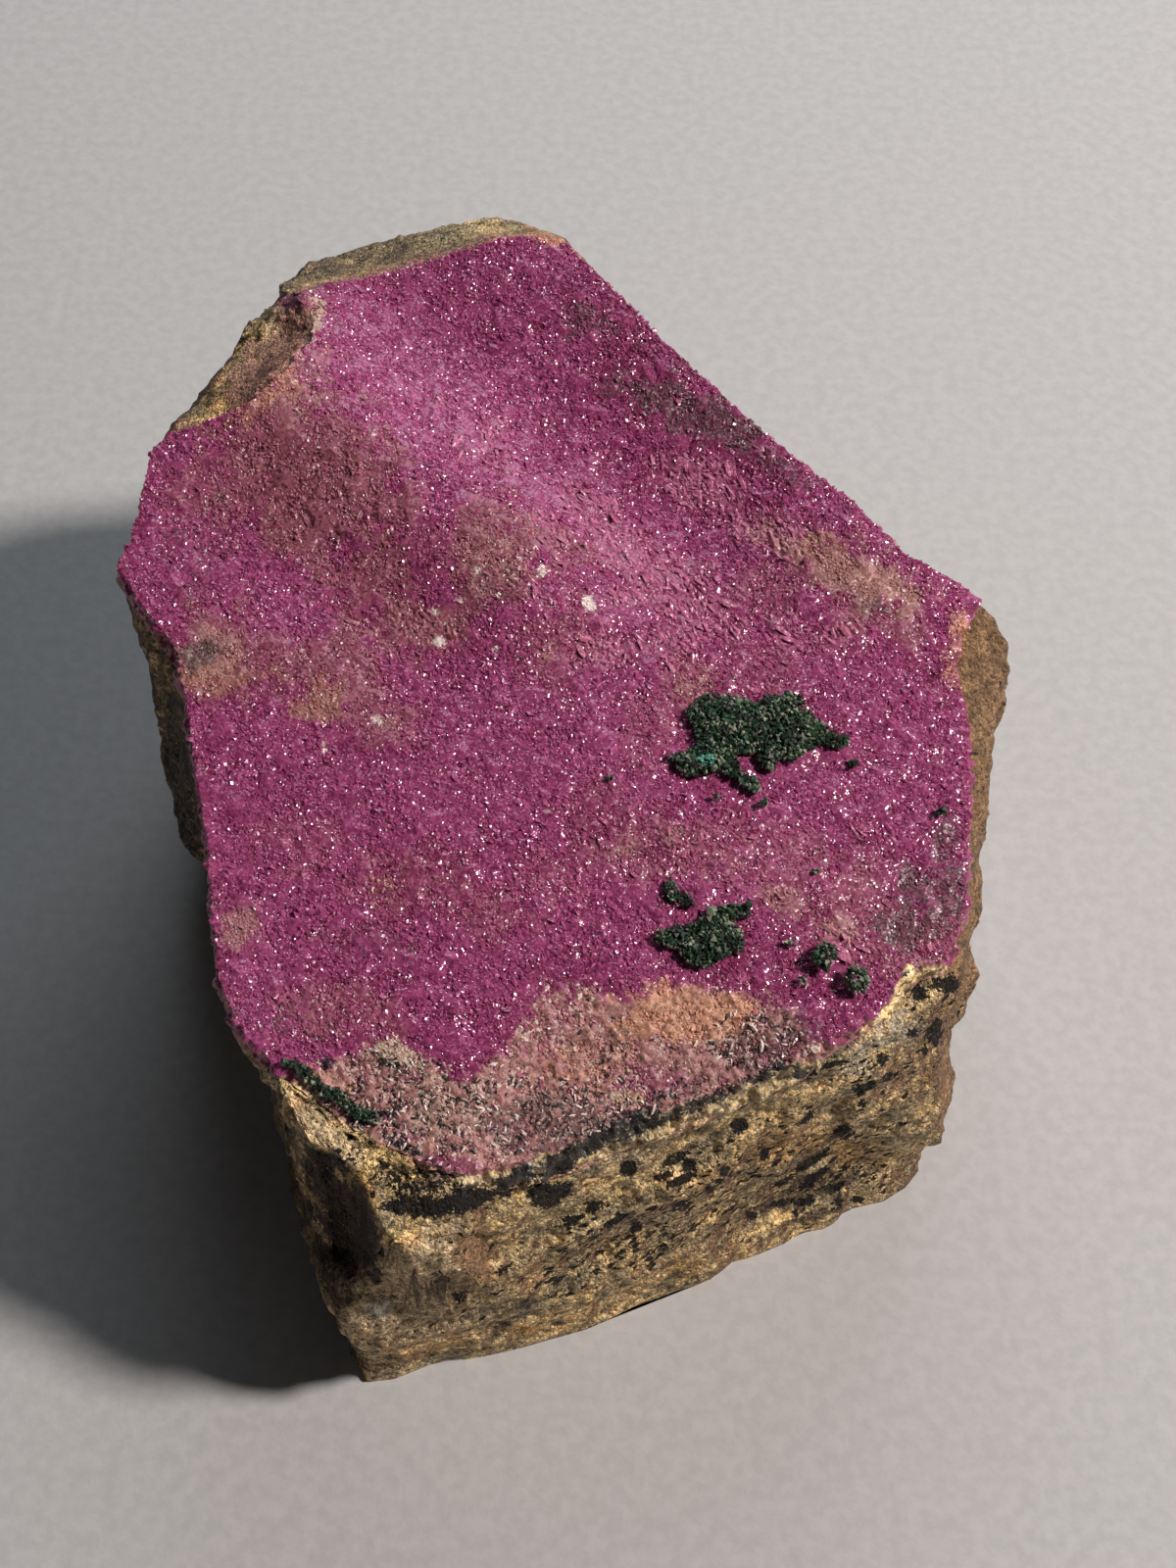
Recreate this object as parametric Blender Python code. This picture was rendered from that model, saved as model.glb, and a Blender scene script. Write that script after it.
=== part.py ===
"""A cobaltoan dolomite specimen: a block of speckled dolostone whose sloping top is a pink
crust of small rhombic dolomite crystals, with green malachite grown on the crust.

Sizes and places are millimetres. +X is to the right of the pink face, +Y is its far end
and +Z is up. The block rests on its flat underside at z = 0. Meshes are made in metres.
"""
import math
import random

import bmesh
import bpy
import numpy as np
from mathutils import Vector, noise
from mathutils.geometry import delaunay_2d_cdt

MM = 0.001
SEED = 11
GAP = 0.3                     # between pieces that touch
SAME_POINT = 1e-6             # points closer than this are one
INNER_MARGIN = 0.45           # clear strip inside a sheet's outline, as a share of its spacing

# The pink face is a tilted plane with broad folds
FACE_HEIGHT = 47.0            # above the underside, at the middle of the face
FACE_SLOPE = 0.22             # rise per millimetre towards the far end
FOLDS = [                     # start, end, half width and height of each ridge or hollow
    ((-32.0, 29.0), (-7.0, 8.0), 5.5, 2.0),
    ((-20.0, 40.0), (10.0, 16.0), 6.0, -2.0),
    ((4.0, 40.0), (24.0, 17.0), 4.0, 0.8),
    ((25.5, 9.0), (28.0, 8.0), 5.5, 1.2),
    ((-33.0, 14.0), (-15.0, 2.0), 6.5, -0.8),
    ((-12.0, -16.0), (12.0, -14.0), 11.0, 0.8),
]

# In front of this line the sparkling crystals end and the granular pink layer dips
LEDGE_LINE = [(-30.0, -37.5), (-19.0, -37.5), (-11.5, -39.5), (-5.0, -33.5), (0.0, -32.5),
              (14.0, -32.5), (18.0, -35.0), (23.0, -36.5), (30.0, -33.0)]
LEDGE_SLOPE = 0.28            # extra fall per millimetre in front of the line
LEDGE_GRAIN = 0.5             # height of its grains, as a share of the crystals' height

CRUST_THICKNESS = 1.7
FRONT_THICKENING = 1.3        # how much thicker the crust is along its front edge
FRONT_WIDTH = 9.0             # over this distance

# Crystals: three-sided points on a triangular lattice of peaks, slopes and pits
CRYSTAL_SPACING = 1.9
CRYSTAL_HEIGHTS = (0.55, 0.05, -0.45)
CRYSTAL_SIZES = (0.45, 1.35)  # each point's height varies between these shares
CRYSTAL_SHIFT = 0.24          # how far a point strays, as a share of the spacing
CRYSTAL_MARGIN = 0.55         # clear strip along the crust's edge, as a share of the spacing
SMOOTH_MARGIN = 2.2           # the crust is bare of crystals this far around the malachite

BED_SPACING = 5.0             # lattice of the bed between crust and rock
STATION_SPACING = 2.3         # distance between points around the block
RAGGEDNESS = 0.3              # how far the crust's edge wanders
RAGGED_SIZE = 2.5             # from one wander to the next

# The crust's edge clockwise from the right corner: x and y, then how far the rock stands
# out beyond it at the rim, the upper, middle and lower levels, and the underside
AXIS = (-3.0, 0.0)
LEVELS = (1.0, 0.78, 0.5, 0.22, 0.0)
EDGE = [
    (37.5, 6.0, 2.2, 4.2, 4.0, 3.0, 2.0),
    (36.0, 3.0, 4.8, 5.0, 4.2, 3.0, 2.0),
    (35.0, -1.0, 5.0, 4.8, 3.6, 2.8, 2.5),
    (36.0, -6.5, 2.8, 3.0, 2.6, 2.2, 2.0),
    (35.5, -15.5, 1.0, 1.4, 2.2, 2.2, 1.5),
    (34.5, -25.0, 0.5, 0.6, 1.6, 2.2, 2.0),
    (32.5, -29.5, 1.0, 1.0, 1.8, 3.0, 3.2),
    (30.0, -30.2, 3.0, 2.2, 2.8, 3.2, 4.5),
    (26.3, -34.0, 1.5, 1.2, 1.2, -0.8, 2.8),
    (19.2, -38.5, 0.6, 0.8, 0.6, -1.4, 1.2),
    (14.0, -39.7, 0.6, 1.0, 0.8, 0.4, 1.6),
    (8.7, -41.6, 0.6, 1.0, 1.4, 1.8, 2.4),
    (3.5, -43.2, 0.5, 1.0, 1.8, 2.6, 3.4),
    (-3.5, -45.6, 0.5, 1.6, 3.2, 4.2, 4.4),
    (-11.2, -47.7, 0.5, 2.2, 4.2, 5.0, 4.8),
    (-14.7, -46.8, 0.5, 3.0, 5.6, 6.8, 7.0),
    (-18.7, -45.0, 0.4, 3.0, 7.2, 9.6, 10.4),
    (-20.7, -44.0, 0.4, 2.0, 5.8, 8.2, 8.4),
    (-23.7, -42.3, 0.4, 0.6, 2.8, 4.6, 4.0),
    (-27.6, -39.8, 0.4, -0.8, 0.0, 0.6, -0.4),
    (-31.4, -35.4, 0.4, -2.4, -2.8, -3.0, -3.2),
    (-33.3, -31.4, 0.3, -2.4, -3.2, -3.5, -3.8),
    (-34.3, -25.5, 0.3, -2.4, -2.6, -3.0, -3.5),
    (-35.2, -18.5, 0.3, -1.4, -0.6, -0.8, -1.5),
    (-36.5, -12.7, 0.3, -0.2, -0.2, -0.5, -1.0),
    (-37.9, -5.9, 0.3, 2.0, 1.8, 0.0, -0.5),
    (-39.3, 0.6, 0.3, 4.0, 4.2, 2.0, 1.0),
    (-41.8, 3.7, 0.3, 2.8, 3.2, 1.0, 0.0),
    (-43.9, 6.8, 0.3, 0.4, 1.6, 0.0, -1.0),
    (-46.0, 9.7, 0.2, -3.0, -1.5, -1.5, -2.5),
    (-44.9, 12.5, 0.2, -2.0, -1.0, -0.5, -1.5),
    (-43.9, 18.0, 0.3, -1.0, 0.0, 0.0, -1.0),
    (-43.6, 22.2, 0.8, 0.4, 0.8, 0.2, -1.0),
    (-41.4, 24.3, 3.0, 3.2, 3.2, 2.5, 1.0),
    (-34.1, 26.2, 8.0, 8.5, 8.5, 7.5, 6.5),
    (-30.4, 30.0, 9.4, 10.4, 10.5, 9.5, 8.5),
    (-28.2, 34.5, 8.8, 10.4, 10.8, 10.0, 9.0),
    (-28.0, 37.5, 7.4, 10.2, 11.0, 10.2, 9.2),
    (-29.3, 41.0, 5.8, 8.8, 10.4, 9.8, 8.6),
    (-25.3, 43.1, 9.4, 11.4, 12.2, 11.4, 10.0),
    (-20.3, 44.6, 10.2, 12.0, 12.6, 11.8, 10.8),
    (-12.2, 46.6, 9.4, 11.6, 12.4, 11.8, 10.8),
    (-9.0, 47.5, 8.2, 10.8, 12.0, 11.6, 10.6),
    (-5.6, 47.8, 6.6, 9.8, 11.2, 11.2, 10.2),
    (-2.5, 47.0, 3.0, 6.8, 9.4, 10.0, 9.4),
    (2.5, 40.7, 0.6, 3.8, 7.0, 8.5, 9.0),
    (8.9, 33.1, 0.4, 3.0, 6.0, 8.0, 8.5),
    (14.2, 27.6, 0.4, 2.5, 5.5, 7.5, 8.0),
    (22.2, 19.5, 0.4, 2.5, 5.0, 6.5, 7.0),
    (26.0, 15.9, 0.4, 2.5, 4.5, 6.0, 6.0),
    (31.3, 9.9, 0.5, 2.5, 4.0, 5.0, 5.0),
    (36.4, 7.3, 1.0, 3.0, 4.0, 4.0, 3.0),
]

RINGS = (1.0, 0.93, 0.86, 0.78, 0.69, 0.59, 0.5, 0.4, 0.3, 0.2, 0.1, 0.03, 0.0)
RIM_DROP = 0.4                # the rim lies this far below the crust's bed
RIM_SLOPE = 0.2               # and falls away where the rock stands out beyond the crust

# Roughness of the broken rock: size of the lumps and how far they stand out
ROCK_LUMPS = ((15.0, 1.3), (6.5, 1.0), (3.4, 0.7))
BED_DIP = 0.45                # the rock's beds rise towards +X by this much
BED_DEPTH = 5.5               # from bed to bed
BED_STEP = 1.1                # how far one bed stands out beyond another
FLANK_RISE = 0.12             # the roughness grows from nothing over this share of the height
HOLLOWS = [                   # centre, radius and depth of each pit in the flank
    ((-23.0, -48.5, 23.5), 4.6, 3.2),
    ((-26.5, -42.5, 27.0), 4.5, 1.4),
    ((-43.5, -1.0, 33.0), 3.5, 1.6),
    ((-40.0, -8.0, 24.0), 4.0, 1.8),
    ((-44.0, 17.0, 22.0), 7.0, 2.0),
    ((-33.0, 44.0, 30.0), 8.0, 2.2),
    ((0.0, 56.0, 26.0), 8.0, 2.0),
    ((24.0, 26.0, 32.0), 7.0, 1.8),
    ((40.0, -2.0, 24.0), 6.0, 1.4),
    ((25.0, -36.0, 9.0), 7.0, 1.2),
]

MALACHITE_EDGE = 0.35         # thickness of a patch at its edge
MALACHITE_BUMPS = (0.45, 0.95)
MALACHITE_SPACING = 1.3
MALACHITE = {
    "malachite_large": [
        (9.0, -6.5), (11.0, -4.5), (14.0, -4.5), (16.0, -5.5), (17.0, -4.5), (20.0, -4.5),
        (20.5, -6.0), (22.0, -7.5), (24.5, -9.0), (23.5, -10.0), (22.0, -9.5), (20.5, -10.0),
        (19.0, -11.5), (18.0, -11.0), (17.0, -12.5), (16.0, -12.0), (15.5, -10.5),
        (14.0, -10.5), (14.0, -12.0), (15.5, -13.0), (16.0, -14.2), (15.0, -14.5),
        (13.5, -13.0), (11.5, -12.3), (10.0, -13.0), (8.5, -12.5), (7.5, -10.7),
        (10.0, -10.0), (10.0, -8.5)],
    "malachite_lower": [
        (7.5, -27.0), (10.0, -26.5), (11.0, -25.5), (13.0, -24.8), (14.5, -24.8),
        (14.8, -25.8), (13.0, -26.6), (14.0, -27.5), (14.0, -29.2), (12.3, -29.8),
        (10.7, -30.8), (9.0, -30.3), (7.9, -29.0), (6.2, -28.3), (6.0, -27.6)],
    "malachite_tail": [
        (6.8, -23.0), (7.6, -22.6), (8.3, -23.6), (9.0, -24.0), (9.8, -25.2),
        (8.6, -25.0), (7.3, -24.4)],
    "malachite_seam": [
        (-26.8, -38.5), (-25.2, -39.0), (-23.4, -40.4), (-21.6, -41.2), (-20.2, -42.4),
        (-18.4, -43.0), (-18.6, -43.9), (-20.7, -43.2), (-22.4, -42.0), (-24.2, -41.2),
        (-25.6, -39.9), (-27.0, -39.2)],
}
SPOTS = [                     # x, y and radius of the single malachite grains
    (21.2, -29.8, 1.25), (24.0, -31.9, 1.25), (18.2, -28.4, 0.5), (19.2, -31.8, 0.5),
    (16.3, -15.4, 0.45), (12.0, -14.8, 0.35), (24.8, -11.2, 0.35), (20.7, -21.7, 0.35),
    (32.5, -15.9, 0.45), (2.0, -12.9, 0.3),
]
SPOT_FLATNESS = 0.55          # height of a grain as a share of its width
SPOT_SIZES = (0.85, 1.1)      # its corners lie between these shares of its radius
LARGE_SPOT = 1.0              # grains with at least this radius have more facets

ROCK_COLOUR = (0.30, 0.23, 0.14)
CRUST_COLOUR = (0.42, 0.09, 0.24)
MALACHITE_COLOUR = (0.02, 0.09, 0.05)


def clear_scene():
    for thing in list(bpy.data.objects):
        bpy.data.objects.remove(thing)


def finish_material(name, colour, roughness):
    material = bpy.data.materials.new(name)
    material.use_nodes = True
    shader = material.node_tree.nodes["Principled BSDF"]
    shader.inputs["Base Color"].default_value = (*colour, 1.0)
    shader.inputs["Roughness"].default_value = roughness
    shader.inputs["Metallic"].default_value = 0.0
    return material


def rock_material():
    return finish_material("dolostone", ROCK_COLOUR, 0.85)


def crust_material():
    return finish_material("pink_dolomite", CRUST_COLOUR, 0.35)


def malachite_material():
    return finish_material("malachite", MALACHITE_COLOUR, 0.7)


def make_object(name, bm, material):
    """Close the mesh's normals outwards, turn its millimetres into metres and link it."""
    bmesh.ops.recalc_face_normals(bm, faces=bm.faces)
    bmesh.ops.scale(bm, vec=Vector((MM, MM, MM)), verts=bm.verts)
    mesh = bpy.data.meshes.new(name)
    bm.to_mesh(mesh)
    bm.free()
    mesh.materials.append(material)
    thing = bpy.data.objects.new(name, mesh)
    bpy.context.scene.collection.objects.link(thing)
    return thing


def distance_to_segment(x, y, start, end):
    dx = end[0] - start[0]
    dy = end[1] - start[1]
    along = ((x - start[0]) * dx + (y - start[1]) * dy) / (dx * dx + dy * dy)
    along = min(1.0, max(0.0, along))
    return math.hypot(x - start[0] - along * dx, y - start[1] - along * dy)


def distance_to_outline(x, y, outline):
    pairs = zip(outline, outline[1:] + outline[:1])
    return min(distance_to_segment(x, y, start, end) for start, end in pairs)


def inside(x, y, outline):
    crossings = 0
    for (ax, ay), (bx, by) in zip(outline, outline[1:] + outline[:1]):
        if (ay > y) != (by > y) and x < ax + (y - ay) * (bx - ax) / (by - ay):
            crossings += 1
    return crossings % 2 == 1


def beyond_ledge(x, y):
    """How far a place lies in front of the line where the sparkling crystals end."""
    line_y = np.interp(x, [p[0] for p in LEDGE_LINE], [p[1] for p in LEDGE_LINE])
    return max(0.0, float(line_y) - y)


def face_height(x, y):
    """Height of the crust's surface, before its crystals."""
    height = FACE_HEIGHT + FACE_SLOPE * y - LEDGE_SLOPE * beyond_ledge(x, y)
    for start, end, half_width, rise in FOLDS:
        share = distance_to_segment(x, y, start, end) / half_width
        height += rise * math.exp(-0.5 * share * share)
    return height


def crust_underside(x, y):
    thickening = FRONT_THICKENING * min(1.0, beyond_ledge(x, y) / FRONT_WIDTH)
    return face_height(x, y) - CRUST_THICKNESS - thickening


def rock_top(x, y):
    return crust_underside(x, y) - GAP


def stations():
    """Points around the block: each has the crust's edge, an outward direction and the
    rock's offsets at the five levels."""
    found = []
    for row, following in zip(EDGE, EDGE[1:] + EDGE[:1]):
        row = np.array(row)
        following = np.array(following)
        count = max(1, round(math.dist(row[:2], following[:2]) / STATION_SPACING))
        found += [row + (following - row) * step / count for step in range(count)]
    result = []
    for values in found:
        outward = Vector((values[0] - AXIS[0], values[1] - AXIS[1])).normalized()
        wander = RAGGEDNESS * noise.noise(Vector((values[0], values[1], 0.0)) / RAGGED_SIZE)
        edge = Vector((values[0], values[1])) + outward * wander
        result.append((edge, outward, [float(v) for v in values[2:]]))
    return result


def lattice(outline, spacing, margin):
    """Points of a triangular lattice inside the outline, each with its kind: 0, 1 or 2.
    The three corners of every lattice triangle are of three kinds."""
    xs = [p[0] for p in outline]
    ys = [p[1] for p in outline]
    row_height = spacing * math.sqrt(0.75)
    points = []
    for row in range(math.floor(min(ys) / row_height), math.ceil(max(ys) / row_height) + 1):
        y = row * row_height
        first = math.floor(min(xs) / spacing - row / 2)
        last = math.ceil(max(xs) / spacing - row / 2)
        for column in range(first, last + 1):
            x = (column + row / 2) * spacing
            if inside(x, y, outline) and distance_to_outline(x, y, outline) > margin:
                points.append((x, y, (column - row) % 3))
    return points


def add_sheet(bm, outline, inner):
    """Triangulate a sheet from its outline and inner points, all (x, y, z), and return
    the vertices of its outline in order."""
    count = len(outline)
    places = outline + inner
    flat = [Vector(p[:2]) for p in places]
    rim = [(i, (i + 1) % count) for i in range(count)]
    _, _, faces, origins, _, _ = delaunay_2d_cdt(flat, rim, [], 1, SAME_POINT)
    verts = [bm.verts.new(places[origin[0]]) for origin in origins]
    for face in faces:
        bm.faces.new([verts[i] for i in face])
    order = {origin[0]: vert for origin, vert in zip(origins, verts)}
    return [order[i] for i in range(count)]


def bridge(bm, ring, other):
    """Join two rings of vertices with a band of triangles."""
    count = len(ring)
    for i in range(count):
        j = (i + 1) % count
        bm.faces.new((ring[i], ring[j], other[j]))
        bm.faces.new((ring[i], other[j], other[i]))


def bed_sheet(bm, outline, height_at):
    """The bed between crust and rock, with the same lattice on both of its sides."""
    rim = [(p.x, p.y, height_at(p.x, p.y)) for p in outline]
    flat = [(p.x, p.y) for p in outline]
    inner = lattice(flat, BED_SPACING, BED_SPACING * INNER_MARGIN)
    return add_sheet(bm, rim, [(x, y, height_at(x, y)) for x, y, _ in inner])


def level_offset(offsets, level):
    """A smooth curve through the rock's offsets at the five levels."""
    upper = 0
    while upper < len(LEVELS) - 2 and level < LEVELS[upper + 1]:
        upper += 1
    before = offsets[max(upper - 1, 0)]
    start = offsets[upper]
    end = offsets[upper + 1]
    after = offsets[min(upper + 2, len(offsets) - 1)]
    t = (LEVELS[upper] - level) / (LEVELS[upper] - LEVELS[upper + 1])
    out = (end - before) / 2
    arrive = (after - start) / 2
    return ((2 * t ** 3 - 3 * t ** 2 + 1) * start + (t ** 3 - 2 * t ** 2 + t) * out
            + (3 * t ** 2 - 2 * t ** 3) * end + (t ** 3 - t ** 2) * arrive)


def rock_roughness(place, level):
    """How far the broken rock stands out at a place on its flank."""
    lumps = sum(depth * noise.noise(place / size) for size, depth in ROCK_LUMPS)
    bed = math.floor((place.z - BED_DIP * place.x) / BED_DEPTH)
    ledge = BED_STEP * noise.cell(Vector((bed, 0.0, 0.0)))
    hollow = 0.0
    for centre, radius, depth in HOLLOWS:
        share = (place - Vector(centre)).length / radius
        hollow += depth * math.exp(-share * share)
    growth = min(1.0, (1.0 - level) / FLANK_RISE)
    return growth * (lumps + ledge - hollow)


def flank_ring(bm, around, level):
    verts = []
    for edge, outward, offsets in around:
        rim_height = rock_top(edge.x, edge.y) - RIM_DROP - RIM_SLOPE * offsets[0]
        height = level * rim_height
        offset = level_offset(offsets, level)
        place = Vector((*(edge + outward * offset), height))
        place.xy += outward * rock_roughness(place, level)
        verts.append(bm.verts.new(place))
    return verts


def make_matrix(around):
    """The block of dolostone: a bed for the crust, a rough flank and a flat underside."""
    bm = bmesh.new()
    ring = bed_sheet(bm, [edge for edge, _, _ in around], rock_top)
    for level in RINGS:
        below = flank_ring(bm, around, level)
        bridge(bm, ring, below)
        ring = below
    underside = bm.faces.new(ring)
    bmesh.ops.triangulate(bm, faces=[underside])
    return make_object("matrix", bm, rock_material())


def crystal_share(x, y):
    """1 where crystals grow at full height, less on the ledge and 0 around malachite."""
    for outline in MALACHITE.values():
        if inside(x, y, outline) or distance_to_outline(x, y, outline) < SMOOTH_MARGIN:
            return 0.0
    for spot_x, spot_y, radius in SPOTS:
        if math.hypot(x - spot_x, y - spot_y) < radius + SMOOTH_MARGIN:
            return 0.0
    return LEDGE_GRAIN if beyond_ledge(x, y) > 0.0 else 1.0


def crystal_points(outline, draw):
    points = []
    for x, y, kind in lattice(outline, CRYSTAL_SPACING, CRYSTAL_SPACING * CRYSTAL_MARGIN):
        x += draw.uniform(-1, 1) * CRYSTAL_SHIFT * CRYSTAL_SPACING
        y += draw.uniform(-1, 1) * CRYSTAL_SHIFT * CRYSTAL_SPACING
        size = draw.uniform(*CRYSTAL_SIZES)
        rise = CRYSTAL_HEIGHTS[kind] * size * crystal_share(x, y)
        points.append((x, y, face_height(x, y) + rise))
    return points


def make_crust(around):
    """The pink crust: crystals above, a broken edge and the bed below."""
    draw = random.Random(SEED)
    bm = bmesh.new()
    outline = [edge - outward * GAP for edge, outward, _ in around]
    flat = [(p.x, p.y) for p in outline]
    rim = [(x, y, face_height(x, y)) for x, y in flat]
    upper = add_sheet(bm, rim, crystal_points(flat, draw))
    lower = bed_sheet(bm, outline, crust_underside)
    bridge(bm, upper, lower)
    return make_object("dolomite_crust", bm, crust_material())


def resample(outline, spacing):
    points = []
    for start, end in zip(outline, outline[1:] + outline[:1]):
        count = max(1, round(math.dist(start, end) / spacing))
        for step in range(count):
            share = step / count
            points.append((start[0] + (end[0] - start[0]) * share,
                           start[1] + (end[1] - start[1]) * share))
    return points


def make_patch(name, outline, material, draw):
    """A thin bumpy growth of malachite that follows the crust under it."""
    bm = bmesh.new()
    edge = resample(outline, MALACHITE_SPACING)
    inner = lattice(outline, MALACHITE_SPACING, MALACHITE_SPACING * INNER_MARGIN)

    def lifted(x, y, rise):
        return (x, y, face_height(x, y) + GAP + rise)

    upper = add_sheet(bm, [lifted(x, y, MALACHITE_EDGE) for x, y in edge],
                      [lifted(x, y, draw.uniform(*MALACHITE_BUMPS)) for x, y, _ in inner])
    lower = add_sheet(bm, [lifted(x, y, 0.0) for x, y in edge], [])
    bridge(bm, upper, lower)
    return make_object(name, bm, material)


def make_spot(number, place, material, draw):
    """One small faceted grain of malachite."""
    x, y, radius = place
    bm = bmesh.new()
    facets = 2 if radius >= LARGE_SPOT else 1
    bmesh.ops.create_icosphere(bm, subdivisions=facets, radius=radius)
    for vert in bm.verts:
        vert.co *= draw.uniform(*SPOT_SIZES)
    lowest = min(vert.co.z for vert in bm.verts)
    for vert in bm.verts:
        rise = (vert.co.z - lowest) * SPOT_FLATNESS
        vert.co.xy += Vector((x, y))
        vert.co.z = face_height(vert.co.x, vert.co.y) + GAP + rise
    return make_object(f"malachite_spot_{number}", bm, material)


def make_malachite():
    draw = random.Random(SEED + 1)
    material = malachite_material()
    made = [make_patch(name, outline, material, draw) for name, outline in MALACHITE.items()]
    made += [make_spot(number, place, material, draw)
             for number, place in enumerate(SPOTS, start=1)]
    return made


def centre_over_origin(things):
    """Move the meshes so that the middle of the specimen's box stands over the origin."""
    corners = [vert.co for thing in things for vert in thing.data.vertices]
    middle_x = (min(c.x for c in corners) + max(c.x for c in corners)) / 2
    middle_y = (min(c.y for c in corners) + max(c.y for c in corners)) / 2
    for thing in things:
        for vert in thing.data.vertices:
            vert.co.x -= middle_x
            vert.co.y -= middle_y


def main():
    clear_scene()
    around = stations()
    things = [make_matrix(around), make_crust(around)]
    things += make_malachite()
    centre_over_origin(things)


if __name__ == "__main__":
    main()
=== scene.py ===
"""The looks of a cobaltoan dolomite specimen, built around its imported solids.

Settings are in metres. Small sizes of crystals, grains and noise are in millimetres and are
turned into metres by MM. Places on the photograph are pixels from its top left corner, in a
frame of 1200 by 1600, and are carried onto the specimen by the photograph's own camera.
"""

import math
from functools import lru_cache

import bmesh
import bpy
import numpy as np
from bpy.props import FloatProperty, FloatVectorProperty, IntProperty, PointerProperty
from mathutils import Matrix, Vector, noise
from mathutils.bvhtree import BVHTree


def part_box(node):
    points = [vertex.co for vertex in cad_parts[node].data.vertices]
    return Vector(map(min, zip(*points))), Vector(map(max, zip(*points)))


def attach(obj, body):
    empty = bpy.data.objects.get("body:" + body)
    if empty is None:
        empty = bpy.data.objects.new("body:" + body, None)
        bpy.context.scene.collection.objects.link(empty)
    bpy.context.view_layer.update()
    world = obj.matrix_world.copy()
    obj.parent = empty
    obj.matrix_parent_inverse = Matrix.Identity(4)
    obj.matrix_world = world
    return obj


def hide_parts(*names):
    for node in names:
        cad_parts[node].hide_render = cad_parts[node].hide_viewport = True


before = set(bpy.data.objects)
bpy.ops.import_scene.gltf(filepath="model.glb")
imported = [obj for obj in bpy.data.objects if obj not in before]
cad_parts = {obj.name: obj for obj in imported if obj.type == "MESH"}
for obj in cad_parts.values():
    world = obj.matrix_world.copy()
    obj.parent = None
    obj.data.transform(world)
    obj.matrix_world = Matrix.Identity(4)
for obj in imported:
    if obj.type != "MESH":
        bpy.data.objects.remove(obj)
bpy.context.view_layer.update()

bl_info = {
    "name": "Cobaltoan Dolomite Specimen",
    "version": (1, 0, 0),
    "blender": (4, 5, 0),
    "location": "View3D > Sidebar > Specimen",
    "description": "Dresses the specimen's solids with crystals, grains, broken rock and stains",
    "category": "Add Mesh",
}

MM = 0.001
BODY = "root"
SAME_POINT = 1e-6             # metres: points of a solid closer than this are one

UP = Vector((0.0, 0.0, 1.0))
DOWN = Vector((0.0, 0.0, -1.0))

PHOTO_WIDTH = 1200
PHOTO_HEIGHT = 1600
SENSOR = 36.0                 # millimetres along the photograph's longer side

CRUST = "dolomite_crust"
ROCK = "matrix"
MALACHITE_PATCHES = ("malachite_large", "malachite_lower", "malachite_tail", "malachite_seam")
MALACHITE_SPECKS = tuple(f"malachite_spot_{number}" for number in range(1, 11))

# The line, left to right, where the sparkling crystals end and the granular layer begins
LEDGE_LINE = ((270, 1100), (285, 1095), (330, 1085), (380, 1068), (420, 1075), (450, 1093),
              (475, 1098), (505, 1082), (535, 1040), (548, 1018), (570, 1008), (600, 1012),
              (650, 1016), (690, 1005), (765, 1012), (800, 1030), (830, 1050), (862, 1066),
              (875, 1058), (905, 1020), (925, 985), (1010, 985))
# The line where the granular layer meets the rock
FOOT_LINE = ((270, 1092), (287, 1100), (330, 1130), (385, 1166), (430, 1190), (460, 1202),
             (510, 1197), (560, 1178), (610, 1158), (650, 1138), (700, 1126), (750, 1110),
             (790, 1090), (857, 1073), (873, 1057), (907, 1023), (923, 988), (1010, 985))

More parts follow.
